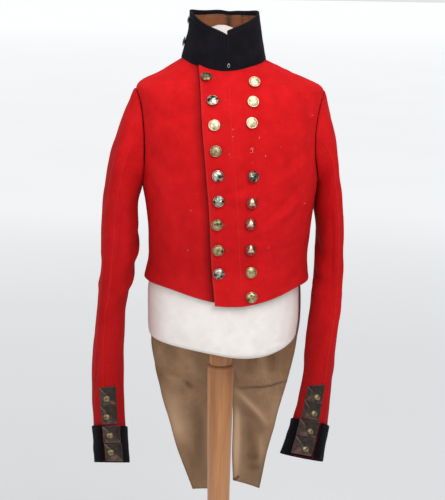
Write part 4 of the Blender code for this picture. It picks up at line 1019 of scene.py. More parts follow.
def add_front(name, wearer_left):
    rows = ROWS
    start = side_edge(rows, ARMHOLE_FRONT[1 if wearer_left else -1], -1)
    if wearer_left:
        end = front_angle(lap_edge_x(rows), rows)
    else:
        start = -math.pi - start
        end = front_angle(np.minimum(UNDERLAP_X, 0.8 * by_row(TORSO, TORSO_COLUMNS, "half_width", rows)), rows)
    u = np.linspace(0, 1, 104 if wearer_left else 92)[:, None]
    angle = start[None] * (1 - u) + end[None] * u
    row = np.broadcast_to(rows[None], angle.shape)
    if not wearer_left:
        row = row + 0.085 * ease(0.35, 0.75, u) * (1 - ease(0.0, 1.2, row))
    points, out = torso(angle, row), torso_out(angle, row)
    height = body_height(points)
    from_side, from_edge = distance_from(points, line_u=0), distance_from(points, line_u=-1)
    from_hem, from_neck = distance_from(points, line_v=0), distance_from(points, line_v=-1)
    height = height + seam_pucker(from_side, points[..., 2])
    height = height - 0.0006 * np.exp(-(from_side / 0.0035) ** 2)
    height = height + 0.0004 * np.exp(-((from_hem - 0.004) / 0.0045) ** 2) - 0.0003 * np.exp(-((from_hem - 0.010) / 0.002) ** 2)
    wear_and_painted_highlight = 0.25 * np.exp(-(from_hem / 0.0016) ** 2) + 0.25 * specks(points[..., [0, 2]], MOTH_MARKS, 0.0020)
    # Darker towards the hem, more on the wearer's right front: painted shade. Also darker just under the collar.
    low = ease(1.22, 1.02, points[..., 2])
    grime_and_painted_light = (0.10 if wearer_left else 0.24) * low + 0.25 * np.exp(-(from_neck / 0.006) ** 2) * 0.6
    if wearer_left:
        height = height + LAP * ease(math.radians(-38), math.radians(-60), angle)
        height = height + 0.0006 * np.exp(-((from_edge - 0.003) / 0.003) ** 2) - 0.00045 * np.exp(-((from_edge - 0.0075) / 0.0016) ** 2)
        height = height + seam_pucker(from_edge, points[..., 2], 0.0002)
        height = height + 0.0007 * np.sin(points[..., 2] * 2 * math.pi / 0.085 + 0.7) * np.exp(-(from_edge / 0.025) ** 2)
        height = height + 0.0014 * np.exp(-(from_edge / 0.012) ** 2)
        # A pale line along the lap edge: edge wear and a painted highlight.
        wear_and_painted_highlight = wear_and_painted_highlight + 0.34 * np.exp(-(from_edge / 0.0009) ** 2)
    else:
        # A dark band on the under front beside the lap edge: painted shadow of the overlapping front.
        grime_and_painted_light = grime_and_painted_light + 0.62 * ease(-0.020, -0.001, points[..., 0] - lap_edge_x(row))
    outer = points + out * height[..., None]
    made = cloth(f"coat_{name}", outer, outer - out * CLOTH, SCARLET, (name,), wear_and_painted_highlight=wear_and_painted_highlight, grime_and_painted_light=grime_and_painted_light, bulge=0.0008)
    return made, outer, out, from_edge


def add_back(name, wearer_left):
    rows = ROWS
    sign = 1 if wearer_left else -1
    start = side_edge(rows, ARMHOLE_BACK[sign], 1)
    end = math.pi / 2 - seam_step(rows)
    if not wearer_left:
        start, end = math.pi - start, math.pi - end
    u = np.linspace(0, 1, 66)[:, None]
    angle = start[None] * (1 - u) + end[None] * u
    row = np.broadcast_to(rows[None], angle.shape)
    points, out = torso(angle, row), torso_out(angle, row)
    from_side, from_mid = distance_from(points, line_u=0), distance_from(points, line_u=-1)
    from_hem, from_neck = distance_from(points, line_v=0), distance_from(points, line_v=-1)
    height = body_height(points) + seam_pucker(from_side, points[..., 2]) + seam_pucker(from_mid, points[..., 2], 0.0002)
    height = height - 0.0006 * np.exp(-(from_side / 0.0035) ** 2) - 0.0006 * np.exp(-(from_mid / 0.003) ** 2)
    wear_and_painted_highlight = 0.22 * np.exp(-(from_hem / 0.0018) ** 2) + 0.12 * np.exp(-(from_mid / 0.0018) ** 2)
    # Darker towards the hem and just under the collar.
    grime_and_painted_light = 0.08 * ease(1.16, 0.99, points[..., 2]) + 0.12 * np.exp(-(from_neck / 0.006) ** 2)
    outer = points + out * height[..., None]
    return cloth(f"coat_{name}", outer, outer - out * CLOTH, SCARLET, (name,), wear_and_painted_highlight=wear_and_painted_highlight, grime_and_painted_light=grime_and_painted_light), outer, out


coat_front_left, left_outer, left_out, left_edge = add_front("front_left", True)
coat_front_right, right_outer, right_out, right_edge = add_front("front_right", False)
coat_back_left, back_left_outer, back_left_out = add_back("back_left", True)
coat_back_right, back_right_outer, back_right_out = add_back("back_right", False)


def line_at(grid, out, distance, how_far):
    """The line on a grid, one point a row, at a length from its last column."""
    points, normals = [], []
    for j in range(grid.shape[1]):
        k = np.interp(how_far, distance[::-1, j], np.arange(grid.shape[0])[::-1])
        a = int(min(max(math.floor(k), 0), grid.shape[0] - 2))
        t = k - a
        points.append(grid[a, j] * (1 - t) + grid[a + 1, j] * t)
        normals.append(unit(out[a, j] * (1 - t) + out[a + 1, j] * t))
    return np.array(points), np.array(normals)


p, n = line_at(left_outer, left_out, left_edge, 0.0075)
stitches("stitch_lap_edge", p, n, RED_THREAD, pitch=0.0050, length=0.0022, radius=0.00028)
p, n = line_at(left_outer, left_out, left_edge, 0.0475)
keep = (p[:, 2] > 0.995) & (p[:, 2] < 1.352)
stitches("stitch_front_line", p[keep], n[keep], FINE_THREAD, pitch=0.0034, length=0.0022, radius=0.00030)
for label, grid, out in (("front_left", left_outer, left_out), ("front_right", right_outer, right_out), ("back_left", back_left_outer, back_left_out), ("back_right", back_right_outer, back_right_out)):
    j = int(np.argmin(np.abs(distance_from(grid, line_v=0)[grid.shape[0] // 2] - 0.010)))
    stitches(f"stitch_hem_{label}", grid[:, j], out[:, j], RED_THREAD, pitch=0.0060, length=0.0020, radius=0.00026)


# ---------------------------------------------------------------- sleeves, cuffs, lace
SLEEVE_ROWS = np.concatenate([-1 + 1.35 * np.linspace(0, 1, 46, endpoint=False) ** 1.15, np.linspace(0.35, SLEEVE_END - 0.035, 150)])
FRONT_SEAM, BACK_SEAM = math.radians(90), math.radians(270)
SEAM_TURN = math.radians(0.12)
sleeve_pieces = {}


def sleeve_cloth(turn, row, sign):
    """Points of a sleeve's outer face with its folds, and their outward directions."""
    plain, out = sleeve(turn, row, sign), sleeve_out(turn, row, sign)
    return plain + out * sleeve_height(turn, row, sign, plain)[..., None], out


def add_sleeve(name, sign, start, end, columns, top):
    turn, row = np.broadcast_arrays(np.linspace(start, end, columns)[:, None], SLEEVE_ROWS[None])
    outer, out = sleeve_cloth(turn, row, sign)
    from_a, from_b = distance_from(outer, line_u=0), distance_from(outer, line_u=-1)
    front, back = (from_b, from_a) if top else (from_a, from_b)
    run = distance_from(outer, line_v=0)
    below = ease(0.012, 0.05, run)
    pucker = (seam_pucker(front, run, 0.00030) + seam_pucker(back, run, 0.00025)) * below
    press = 0.0010 * np.exp(-(front / 0.0042) ** 2) * below if top else -0.0002 * np.exp(-(front / 0.003) ** 2)
    dip = -0.0005 * np.exp(-(back / 0.003) ** 2) - 0.0005 * np.exp(-(run / 0.003) ** 2)
    outer = outer + out * (pucker + press + dip)[..., None]
    # A pale line along the pressed front seam: wear and a painted highlight on its ridge.
    wear_and_painted_highlight = 0.13 * np.exp(-(front / 0.0020) ** 2) * below * (1.0 if top else 0.35)
    wear_and_painted_highlight = wear_and_painted_highlight + 0.08 * np.exp(-(back / 0.002) ** 2)
    # Darker down towards the cuff, at the sleeve head and on the under-sleeve; the right sleeve darker high up and the
    # left one paler at mid length: painted shade and painted light.
    grime_and_painted_light = 0.10 + 0.42 * ease(0.5, 7.2, row) + 0.22 * np.exp(-(run / 0.004) ** 2) + (0.0 if top else 0.06)
    grime_and_painted_light = grime_and_painted_light + (-0.20 * np.exp(-((row - 3.8) / 1.0) ** 2) if sign > 0 else 0.10 * np.exp(-((row - 1.8) / 1.2) ** 2))
    # Dark in the cuff's slit and at the sleeve's end under the cuff: painted shade.
    slit = np.exp(-((np.abs((turn - CUFF_SLIT[sign] + math.pi) % (2 * math.pi) - math.pi) / math.radians(9)) ** 2))
    grime_and_painted_light = grime_and_painted_light + 0.85 * slit * ease(CUFF_START[sign] - 0.06, CUFF_START[sign] + 0.10, row) + 0.5 * ease(SLEEVE_END - 0.12, SLEEVE_END - 0.04, row)
    grime_and_painted_light = np.clip(grime_and_painted_light, 0, 1)
    nodes = (name,) if sign > 0 else tuple(f"{name}_{k}" for k in (1, 2, 3))
    made = cloth(f"coat_{name}", outer, outer - out * CLOTH, SCARLET, nodes, wear_and_painted_highlight=wear_and_painted_highlight, grime_and_painted_light=grime_and_painted_light)
    return made


for side, sign in (("left", 1), ("right", -1)):
    sleeve_pieces[f"top_{side}"] = add_sleeve(f"sleeve_top_{side}", sign, BACK_SEAM - 2 * math.pi + SEAM_TURN, FRONT_SEAM - SEAM_TURN, 70, True)
    sleeve_pieces[f"under_{side}"] = add_sleeve(f"sleeve_under_{side}", sign, FRONT_SEAM + SEAM_TURN, BACK_SEAM - SEAM_TURN, 54, False)

cuff_pieces, lace_pieces = {}, []


def cuff_lift(row, sign):
    """The cuff stands a little off the sleeve at its free upper edge."""
    return 2 * GAP + 0.0008 * np.exp(-((row - CUFF_START[sign] - CUFF_FALL[sign] / 2) / 0.16) ** 2)


for side, sign in (("left", 1), ("right", -1)):
    slit = CUFF_SLIT[sign]
    turn = np.linspace(slit + CUFF_SLIT_HALF, slit + 2 * math.pi - CUFF_SLIT_HALF, 150)[:, None]
    start = CUFF_START[sign] + CUFF_FALL[sign] * (1 - np.cos(turn)) / 2
    row = start + (SLEEVE_END - start) * np.linspace(0, 1, 40)[None]
    turn = np.broadcast_to(turn, row.shape)
    base, out = sleeve_cloth(turn, row, sign)
    away = np.minimum(distance_from(base, line_u=0), distance_from(base, line_u=-1))
    lift = cuff_lift(row, sign) + 0.0007 * np.exp(-(away / 0.006) ** 2)
    soft = 0.0005 * ripple(base, 0.05, 60 + sign) + 0.00025 * ripple(base, 0.02, 70 + sign)
    inner = base + out * (lift + 0.0005 + np.maximum(soft, -0.0003))[..., None]
    outer = inner + out * CUFF_CLOTH
    up, down = distance_from(outer, line_v=0), distance_from(outer, line_v=-1)
    wear_and_painted_highlight = 0.18 * np.exp(-(up / 0.0014) ** 2) + 0.30 * np.exp(-(down / 0.0014) ** 2) + 0.15 * np.exp(-(away / 0.0014) ** 2)
    cuff_pieces[side] = cloth(f"coat_cuff_{side}", outer, inner, NAVY, (f"cuff_{side}",), wear_and_painted_highlight=wear_and_painted_highlight, grime_and_painted_light=np.full(row.shape, 0.90), bulge=0.0007)
    j = int(np.argmin(np.abs(up[0] - 0.004)))
    stitches(f"stitch_cuff_{side}", outer[:, j], out[:, j], NAVY_THREAD, pitch=0.0046, length=0.0022, radius=0.00026)
    j = int(np.argmin(np.abs(down[0] - 0.004)))
    stitches(f"stitch_cuff_edge_{side}", outer[:, j], out[:, j], NAVY_THREAD, pitch=0.0046, length=0.0022, radius=0.00026)


def upright(point, out, lean=(0.0, 0.0)):
    """A frame whose Z is the surface's outward direction, leaned a little sideways and upward."""
    z = unit(np.asarray(out, float))
    x = unit(np.cross((0, 0, 1.0), z))
    y = np.cross(z, x)
    z = unit(z + x * lean[0] + y * lean[1])
    x = unit(np.cross((0, 0, 1.0), z))
    return np.stack([x, np.cross(z, x), z], -1), np.asarray(point, float)


def button(name, radius, height, place, material, nodes, petals=8, turn=0.0, segments=40, raised=0.045, soil=0.0, spots=(), wedge=False):
    """A domed shank button: rolled rim, a sunk ring, a plain petalled boss.  Tarnish is an even soil, round spots
    (across, up, radius, strength; negative ones are rubbed bright, and on the small cuff buttons the bright one at the
    upper left is a painted highlight) and a wedge left bright; on the copper finish the red that the tarnish paints is
    a painted reflection of the scarlet cloth."""
    profile = (
        (0.00, 0.0), (0.42, 0.0), (0.42, 0.26), (0.88, 0.30), (0.97, 0.37), (1.00, 0.47), (0.985, 0.57), (0.94, 0.640), (0.895, 0.655),
        (0.865, 0.625), (0.835, 0.610), (0.80, 0.640), (0.74, 0.700), (0.66, 0.765), (0.58, 0.820), (0.50, 0.865), (0.42, 0.902),
        (0.34, 0.932), (0.26, 0.958), (0.17, 0.982), (0.08, 0.996), (0.00, 1.0),
    )
    axes, foot = place
    verts, grime_and_painted_light = [], []
    for k, (r, z) in enumerate(profile):
        steps = 1 if r == 0 else segments
        for q in range(steps):
            t = 2 * math.pi * q / segments
            relief = 0.0
            if 0.10 < r < 0.80 and z > 0.6:
                petal = math.cos(petals * (t + turn)) * math.sin(math.pi * min(max((r - 0.10) / 0.66, 0), 1))
                relief = raised * petal
            if 0.5 < z and 0.89 < r < 0.99:
                relief = 0.012 * math.cos(36 * t)
            verts.append(foot + axes @ np.array((r * radius * math.cos(t), r * radius * math.sin(t), (z + relief) * height)))
            deep = 0.85 if 0.80 <= r <= 0.88 and z > 0.5 else 0.0
            deep = max(deep, 12.0 * max(-relief, 0)) if relief else deep
            px, py = r * math.cos(t), r * math.sin(t)
            deep = max(deep, soil)
            for sx, sy, size, strength in spots:
                near = math.exp(-((px - sx) ** 2 + (py - sy) ** 2) / size ** 2)
                deep = max(deep, min(1.25 * strength * near, 1.0)) if strength > 0 else deep * (1 + strength * near)
            if wedge:
                inside = min((0.74 - py) * 0.46 - abs(px), (py + 0.42) * 0.8)
                deep = max(0.95 * (1 - min(max(inside / 0.24 + 0.5, 0), 1)), deep * 0.5)
            grime_and_painted_light.append(0.8 if z < 0.34 else deep)
    faces, start = [], 1
    for q in range(segments):
        faces.append((0, start + (q + 1) % segments, start + q))
    rings = len(profile) - 2
    for k in range(rings - 1):
        a, b = start + k * segments, start + (k + 1) * segments
        for q in range(segments):
            n = (q + 1) % segments
            faces.append((a + q, a + n, b + n, b + q))
    a = start + (rings - 1) * segments
    for q in range(segments):
        faces.append((a + q, a + (q + 1) % segments, len(verts) - 1))
    return add(name, verts, faces, material, {"grime_and_painted_light": grime_and_painted_light}, nodes)


for side, sign, table in (("left", 1, LACE_LEFT), ("right", -1, LACE_RIGHT)):
    for number, values in enumerate(table, 1):
        loop = dict(zip(LACE_COLUMNS, values))
        on_cuff = loop["at"] > CUFF_START[sign]
        a, b = np.meshgrid(np.linspace(-1, 1, 41), np.linspace(1, -1, 41), indexing="ij")
        turn = np.radians(loop["turn"] - sign * a * loop["reach"])
        row = loop["at"] - b * loop["span"] * (1.03 if number == 2 else 1.06)
        if (sign, number) == (1, 1):
            row = row + (0.12 * (1 - a) / 2 - 0.05 * (1 + a) / 2) * ease(-1.0, 1.0, b)
        base, out = sleeve_cloth(turn, row, sign)
        skin = (CUFF_CLOTH + 2 * GAP + 0.0005 if on_cuff else 0.0002) + 2 * GAP
        skin = skin + (cuff_lift(row, sign) - 2 * GAP if on_cuff else 0.0)
        m = np.maximum(np.abs(a), np.abs(b))
        crown = 0.0007 * (1 - m ** 2) + 0.00035 * np.exp(-((m - 0.93) / 0.05) ** 2) - 0.00022 * np.exp(-((np.abs(a) - np.abs(b)) / 0.035) ** 2) * (m > 0.12)
        curl = 0.0009 * np.exp(-((a - 1) ** 2 + (b - 1) ** 2) / 0.10) * (1 if number in (1, 3) else 0.4)
        inner = base + out * (skin + curl)[..., None]
        outer = inner + out * (LACE * 0.8 + crown)[..., None]
        wear_and_painted_highlight = np.exp(-((1 - m) / 0.05) ** 2)
        made = cloth(f"lace_loop_{side}_{number}", outer, inner, LACE_WEAVE, (f"lace_{side}_{number}",), wear_and_painted_highlight=wear_and_painted_highlight, bulge=0.0004, extra={"lace_a": a, "lace_b": b})
        lace_pieces.append(made)
        turn, row = np.array(np.radians(loop["button_turn"])), np.array(loop["button_at"])
        point, out = sleeve_cloth(turn, row, sign)
        foot = point + out * (float(np.mean(skin)) + LACE + 3 * GAP)
        # The bright spot at the upper left of each small button is a painted highlight; the rest is tarnish.
        button(f"small_button_{side}_{number}", CUFF_BUTTON_R * 0.92, CUFF_BUTTON_H, upright(foot, out, (0.34 * sign, 0.16)), DULL_GILT, (f"cuff_button_{side}_{number}",), petals=6, turn=number, segments=32, soil=0.62, spots=((0.10, -0.05, 0.34, 0.95), (-0.62, 0.25, 0.34, -0.95), (0.50, -0.45, 0.26, -0.6)))


# ---------------------------------------------------------------- front buttons, buttonholes, thread ends
# finish 0 bright gilt, 1 dull gilt, 2 worn plate, 3 copper gilt whose tarnish is a red painted reflection of the
# scarlet cloth; lean to the side and upward; even soil; spots (across, up, radius, strength).
EDGE_LOOK = (
    (1, 0.10, 0.35, 0.80, ((-0.25, -0.70, 0.20, -0.8), (0.45, -0.70, 0.20, -0.9), (-0.70, 0.05, 0.20, -0.6))),
    (2, -0.08, 0.22, 0.30, ((0.00, 0.50, 0.50, 0.95), (-0.65, -0.05, 0.46, 0.95), (0.76, 0.25, 0.36, 0.95), (-0.20, 0.05, 0.30, 0.85), (0.20, -0.42, 0.34, -0.95))),
    (0, 0.00, 0.02, 0.06, ((0.00, 0.05, 0.26, 0.70), (0.00, -0.62, 0.20, 0.85), (0.55, 0.40, 0.20, 0.40))),
    (1, 0.03, 0.03, 0.22, ((0.00, 0.05, 0.30, 0.55), (-0.60, -0.60, 0.35, 0.55))),
    (2, 0.10, -0.05, 0.12, ((0.30, -0.15, 0.40, 0.95), (0.80, -0.05, 0.30, 0.95), (0.05, -0.85, 0.38, 0.95), (0.35, 0.65, 0.24, 0.70))),
    (2, -0.06, 0.12, 0.38, ((0.80, 0.00, 0.36, 0.95), (-0.75, -0.10, 0.36, 0.95), (-0.10, -0.22, 0.18, 0.75), (0.12, 0.48, 0.17, 0.60))),
    (1, 0.08, 0.10, 0.30, ((0.10, 0.20, 0.32, 0.95), (-0.40, 0.10, 0.24, 0.85), (0.58, 0.20, 0.26, 0.90), (0.00, 0.75, 0.30, 0.80), (-0.15, -0.40, 0.36, -0.8))),
    (1, -0.05, 0.02, 0.12, ((0.00, 0.05, 0.36, 0.55), (0.75, -0.10, 0.30, 0.80))),
    (2, 0.05, -0.08, 0.34, ((-0.55, -0.10, 0.44, 0.95), (0.50, -0.38, 0.42, 0.95), (0.00, -0.75, 0.36, 0.90), (0.70, 0.35, 0.30, 0.80), (0.02, 0.22, 0.34, -0.95))),
)
FAR_LOOK = (
    (0, -0.06, 0.05, 0.04, ((0.38, 0.10, 0.34, 0.60), (0.75, -0.30, 0.28, 0.60), (0.05, -0.75, 0.22, 0.45))),
    (0, 0.00, 0.00, 0.04, ((0.10, 0.12, 0.26, 0.60), (-0.45, 0.05, 0.22, 0.50), (0.25, -0.60, 0.22, 0.40))),
    (0, 0.03, 0.02, 0.10, ((0.10, 0.02, 0.32, 0.65), (0.00, -0.62, 0.26, 0.60), (0.45, 0.45, 0.26, 0.50))),
    (2, 0.25, 0.22, 0.84, ((0.12, 0.00, 0.40, 0.98), (-0.10, -0.75, 0.40, 0.95), (-0.45, 0.30, 0.20, -0.70), (0.40, -0.52, 0.18, -0.60), (0.30, 0.62, 0.16, -0.55))),
    (3, 0.02, 0.26, 0.00, ((-0.15, 0.05, 0.16, 0.60), (0.18, -0.20, 0.15, 0.55))),
    (3, -0.03, 0.28, 0.00, ((0.10, -0.15, 0.16, 0.50), (-0.20, -0.45, 0.15, 0.45))),
    (3, 0.04, 0.26, 0.00, ((0.05, 0.10, 0.14, 0.55), (-0.10, -0.35, 0.14, 0.50))),
    (1, 0.00, 0.04, 0.00, ((-0.20, 0.15, 0.26, 0.35), (0.40, 0.30, 0.25, 0.30))),
    (1, -0.08, 0.10, 0.00, ((-0.08, 0.30, 0.20, 0.95), (0.34, 0.15, 0.18, 0.90), (-0.62, -0.45, 0.34, 0.85), (0.10, -0.18, 0.15, 0.75))),
)
FINISH = (GILT, DULL_GILT, WORN_SILVER, COPPER_GILT_RED_REFLECTION)


def front_spot(x, z):
    angle, row = front_place(x, z)
    plain, out = torso(angle, row), torso_out(angle, row)
    return plain + out * (float(body_height(plain[None])[0]) + LAP), out


holes = []
for kind, table, looks in (("edge", EDGE_BUTTONS, EDGE_LOOK), ("far", FAR_BUTTONS, FAR_LOOK)):
    for number, ((x, z), (finish, side_lean, up_lean, soil, spots)) in enumerate(zip(table, looks), 1):
        point, out = front_spot(x, z)
        foot = point + out * 0.0008
        button(f"coat_button_{kind}_{number}", BUTTON_R, BUTTON_H, upright(foot, out, (side_lean, up_lean)), FINISH[finish], (f"button_{kind}_{number}",), petals=(8, 10, 6, 3)[finish], turn=number * 0.7, raised=(0.015, 0.025, 0.045, 0.030)[finish], soil=soil, spots=spots, wedge=finish == 3)
        if kind == "edge":
            t = np.linspace(0, 2 * math.pi, 56, endpoint=False)
            path = []
            for s in t:
                ex = 0.0115 * np.sign(math.cos(s)) * abs(math.cos(s)) ** 0.7 + 0.0055
                ez = 0.0012 * math.sin(s) - 0.0012 * math.cos(s)
                spot, o = front_spot(x + ex, z + ez)
                path.append(spot + o * 0.0002)
            holes.append(tube(path, 0.00055 * (1 + 0.22 * np.sin(28 * t)), 6, True))
verts, faces, base = [], [], 0
for v, f in holes:
    verts += v
    faces += [tuple(base + k for k in face) for face in f]
    base += len(v)
add("buttonholes_worked", verts, faces, HOLE_THREAD, None, ())

rng = np.random.RandomState(5)
starts, ends = [], []
for dx, dz, length in ((0.0, 0.0, 0.0040), (0.0012, 0.0035, 0.0032), (-0.0010, -0.0030, 0.0036), (0.0016, -0.0010, 0.0030), (-0.0018, 0.0050, 0.0026)):
    point, out = front_spot(LOST_BUTTON[0] + dx, LOST_BUTTON[1] + dz)
    lie = unit(out * 0.55 + rng.normal(size=3) * (0.6, 0.1, 0.6))
    starts.append(point)
    ends.append(point + lie * length)
rods("thread_ends", starts, ends, 0.00045, PALE_THREAD)
starts, ends = [], []
for x, z in MOTH_MARKS:
    point, out = front_spot(x, z)
    lapped = x > float(np.interp(z, column(EDGE, EDGE_COLUMNS, "z"), column(EDGE, EDGE_COLUMNS, "x")))
    point = point + out * (0.0003 if lapped else 0.0003 - LAP)
    lie = unit(rng.normal(size=3) * (1.0, 0.1, 1.0)) * rng.uniform(0.0009, 0.0017)
    starts.append(point - lie / 2)
    ends.append(point + lie / 2)
rods("lint", starts, ends, 0.00040, PALE_THREAD)


# ---------------------------------------------------------------- collar
def collar_top(angle):
    c, s = np.cos(angle), np.sin(angle)
    sag = c * c * (1 - np.abs(c))
    fall = (COLLAR_TOP_BACK - COLLAR_TOP_FRONT) * np.where(c < 0, 1 - np.abs(c) + 1.2 * sag, 0.84 * (1 - np.abs(c)) + 0.75 * sag)
    wave = np.where(s > 0, -0.0022 * np.exp(-((angle - math.radians(80)) / 0.20) ** 2) + 0.0007 * np.sin(5.0 * angle), 0.0)
    return COLLAR_TOP_BACK - np.where(s < 0, fall, 0) + wave - 0.0004


def collar(angle, share):
    angle, share = np.broadcast_arrays(np.asarray(angle, float), np.asarray(share, float))
    at = {n: through(column(COLLAR, COLLAR_COLUMNS, "share"), column(COLLAR, COLLAR_COLUMNS, n), share) for n in COLLAR_COLUMNS[1:]}
    c, s = np.cos(angle), np.sin(angle)
    foot = torso(angle, NECK)[..., 2] + 0.0012
    z = foot + (collar_top(angle) - foot) * share
    return np.stack([at["shift"] + at["half_width"] * c, np.where(s < 0, -at["y_front"], at["y_back"]) * s, z], -1)


def collar_out(angle, share):
    h = 1e-3
    du = collar(angle + h, share) - collar(angle - h, share)
    dv = collar(angle, np.minimum(share + 4 * h, 1.0)) - collar(angle, np.maximum(share - 4 * h, 0.0))
    return unit(np.cross(du, dv))


COLLAR_FOLDS = (
    ("trough", 9, 1.3, ((-0.060, 1.395), (-0.052, 1.425), (-0.050, 1.455))),
    ("ridge", 8, 1.0, ((-0.035, 1.390), (-0.030, 1.415), (-0.034, 1.445))),
    ("trough", 9, 1.2, ((0.030, 1.392), (0.034, 1.420), (0.030, 1.448))),
    ("ridge", 8, 1.1, ((0.055, 1.398), (0.052, 1.430), (0.050, 1.462))),
    ("trough", 6, 0.9, ((-0.020, 1.388), (-0.010, 1.398), (0.004, 1.396))),
    ("trough", 6, 0.8, ((0.010, 1.402), (0.030, 1.406), (0.050, 1.412))),
)


def collar_height(angle, share, points):
    front = ease(0.01, -0.02, points[..., 1])
    h = folds(points[..., [0, 2]], COLLAR_FOLDS) * front
    h = h + 0.0008 * ripple(points, 0.07, 81) + 0.0004 * ripple(points, 0.03, 82)
    near_left = np.exp(-((angle + math.pi / 2) / 0.16) ** 2) * (angle > -math.pi / 2)
    near_right = np.exp(-((angle - 1.5 * math.pi) / 0.14) ** 2)
    return h + 0.0016 * near_left * share + (-0.0012 * share) * near_right


turn = COLLAR_OPEN_X / 0.07
COLLAR_ANGLES = np.linspace(-math.pi / 2 + turn, 1.5 * math.pi - turn, 216)[:, None]


def collar_layer(skin, thickness, share_from, share_to, rows):
    angle, share = np.broadcast_arrays(COLLAR_ANGLES, np.linspace(share_from, share_to, rows)[None])
    points, out = collar(angle, share), collar_out(angle, share)
    outer = points + out * (skin + collar_height(angle, share, points))[..., None]
    return angle, share, outer, out, outer - out * thickness


angle, share, outer, out, inner = collar_layer(0.0, COLLAR_CLOTH, 0.0, 1.0, 44)
up, down = distance_from(outer, line_v=-1), distance_from(outer, line_v=0)
ends = np.minimum(distance_from(outer, line_u=0), distance_from(outer, line_u=-1))
wear_and_painted_highlight = 0.30 * np.exp(-(up / 0.0016) ** 2) + 0.20 * np.exp(-(ends / 0.0016) ** 2) + 0.10 * np.exp(-(down / 0.002) ** 2)
coat_collar = cloth("coat_collar", outer, inner, NAVY, ("collar",), wear_and_painted_highlight=wear_and_painted_highlight, bulge=0.0011)
j = int(np.argmin(np.abs(up[100] - 0.0055)))
stitches("stitch_collar_top", outer[:, j], out[:, j], NAVY_THREAD, pitch=0.0046, length=0.0022, radius=0.00026)
angle, share, outer, out, inner = collar_layer(-COLLAR_CLOTH - GAP, LINING, 0.04, 0.895, 34)
up = distance_from(outer, line_v=-1)
# Darker towards the foot, deep inside the collar: painted shade. Also darker just under the top edge and in two narrow
# bands at the back, and paler in a band below the top edge and at one side.
grime_and_painted_light = 0.30 * np.exp(-(up / 0.006) ** 2) + 0.45 * ease(0.75, 0.15, share) + 0.10 * ripple(outer, 0.03, 91)
grime_and_painted_light = grime_and_painted_light + 0.85 * np.exp(-((angle - 1.39) / 0.10) ** 2) + 0.60 * np.exp(-((angle - 0.95) / 0.05) ** 2)
wear_and_painted_highlight = 0.35 * np.exp(-((up - 0.016) / 0.008) ** 2) + 0.25 * np.exp(-((angle - 2.05) / 0.25) ** 2)
coat_collar_lining = cloth("coat_collar_lining", outer, inner, BROWN, ("collar_lining",), wear_and_painted_highlight=wear_and_painted_highlight, grime_and_painted_light=np.clip(grime_and_painted_light, 0, 1), bulge=0.0003)
j = int(np.argmin(np.abs(up[100] - 0.003)))
stitches("stitch_collar_lining", inner[:, j], -out[:, j], TAN_THREAD, pitch=0.0050, length=0.0026, radius=0.00030)

for number, (degrees, at, scale) in enumerate(((184.0, 0.80, 0.75), (183.0, 0.34, 1.0)), 1):
    angle = np.array(math.radians(degrees))
    point, out = collar(angle, at), collar_out(angle, at)
    point = point + out * float(collar_height(angle[None], np.array([at]), point[None])[0])
    button(f"dark_button_{number}", COLLAR_BUTTON_R * scale, COLLAR_BUTTON_H * scale * 0.65, upright(point + out * 0.0003, out), HORN, (f"collar_button_{number}",), petals=5, segments=32)

hook = []
spot, out = collar(np.array(-math.pi / 2 + 0.035), 0.10), collar_out(np.array(-math.pi / 2 + 0.035), 0.10)
for s in np.linspace(0, 1, 26):
    a = math.radians(-60 + 300 * s)
    hook.append(spot + out * 0.0026 + np.array((0.0024 * math.cos(a) + 0.002 * s, -0.0004 * s, 0.0034 * math.sin(a) + 0.002)))
verts, faces = tube(hook, 0.00055, 8)
add("collar_hook", verts, faces, STEEL, None, ())


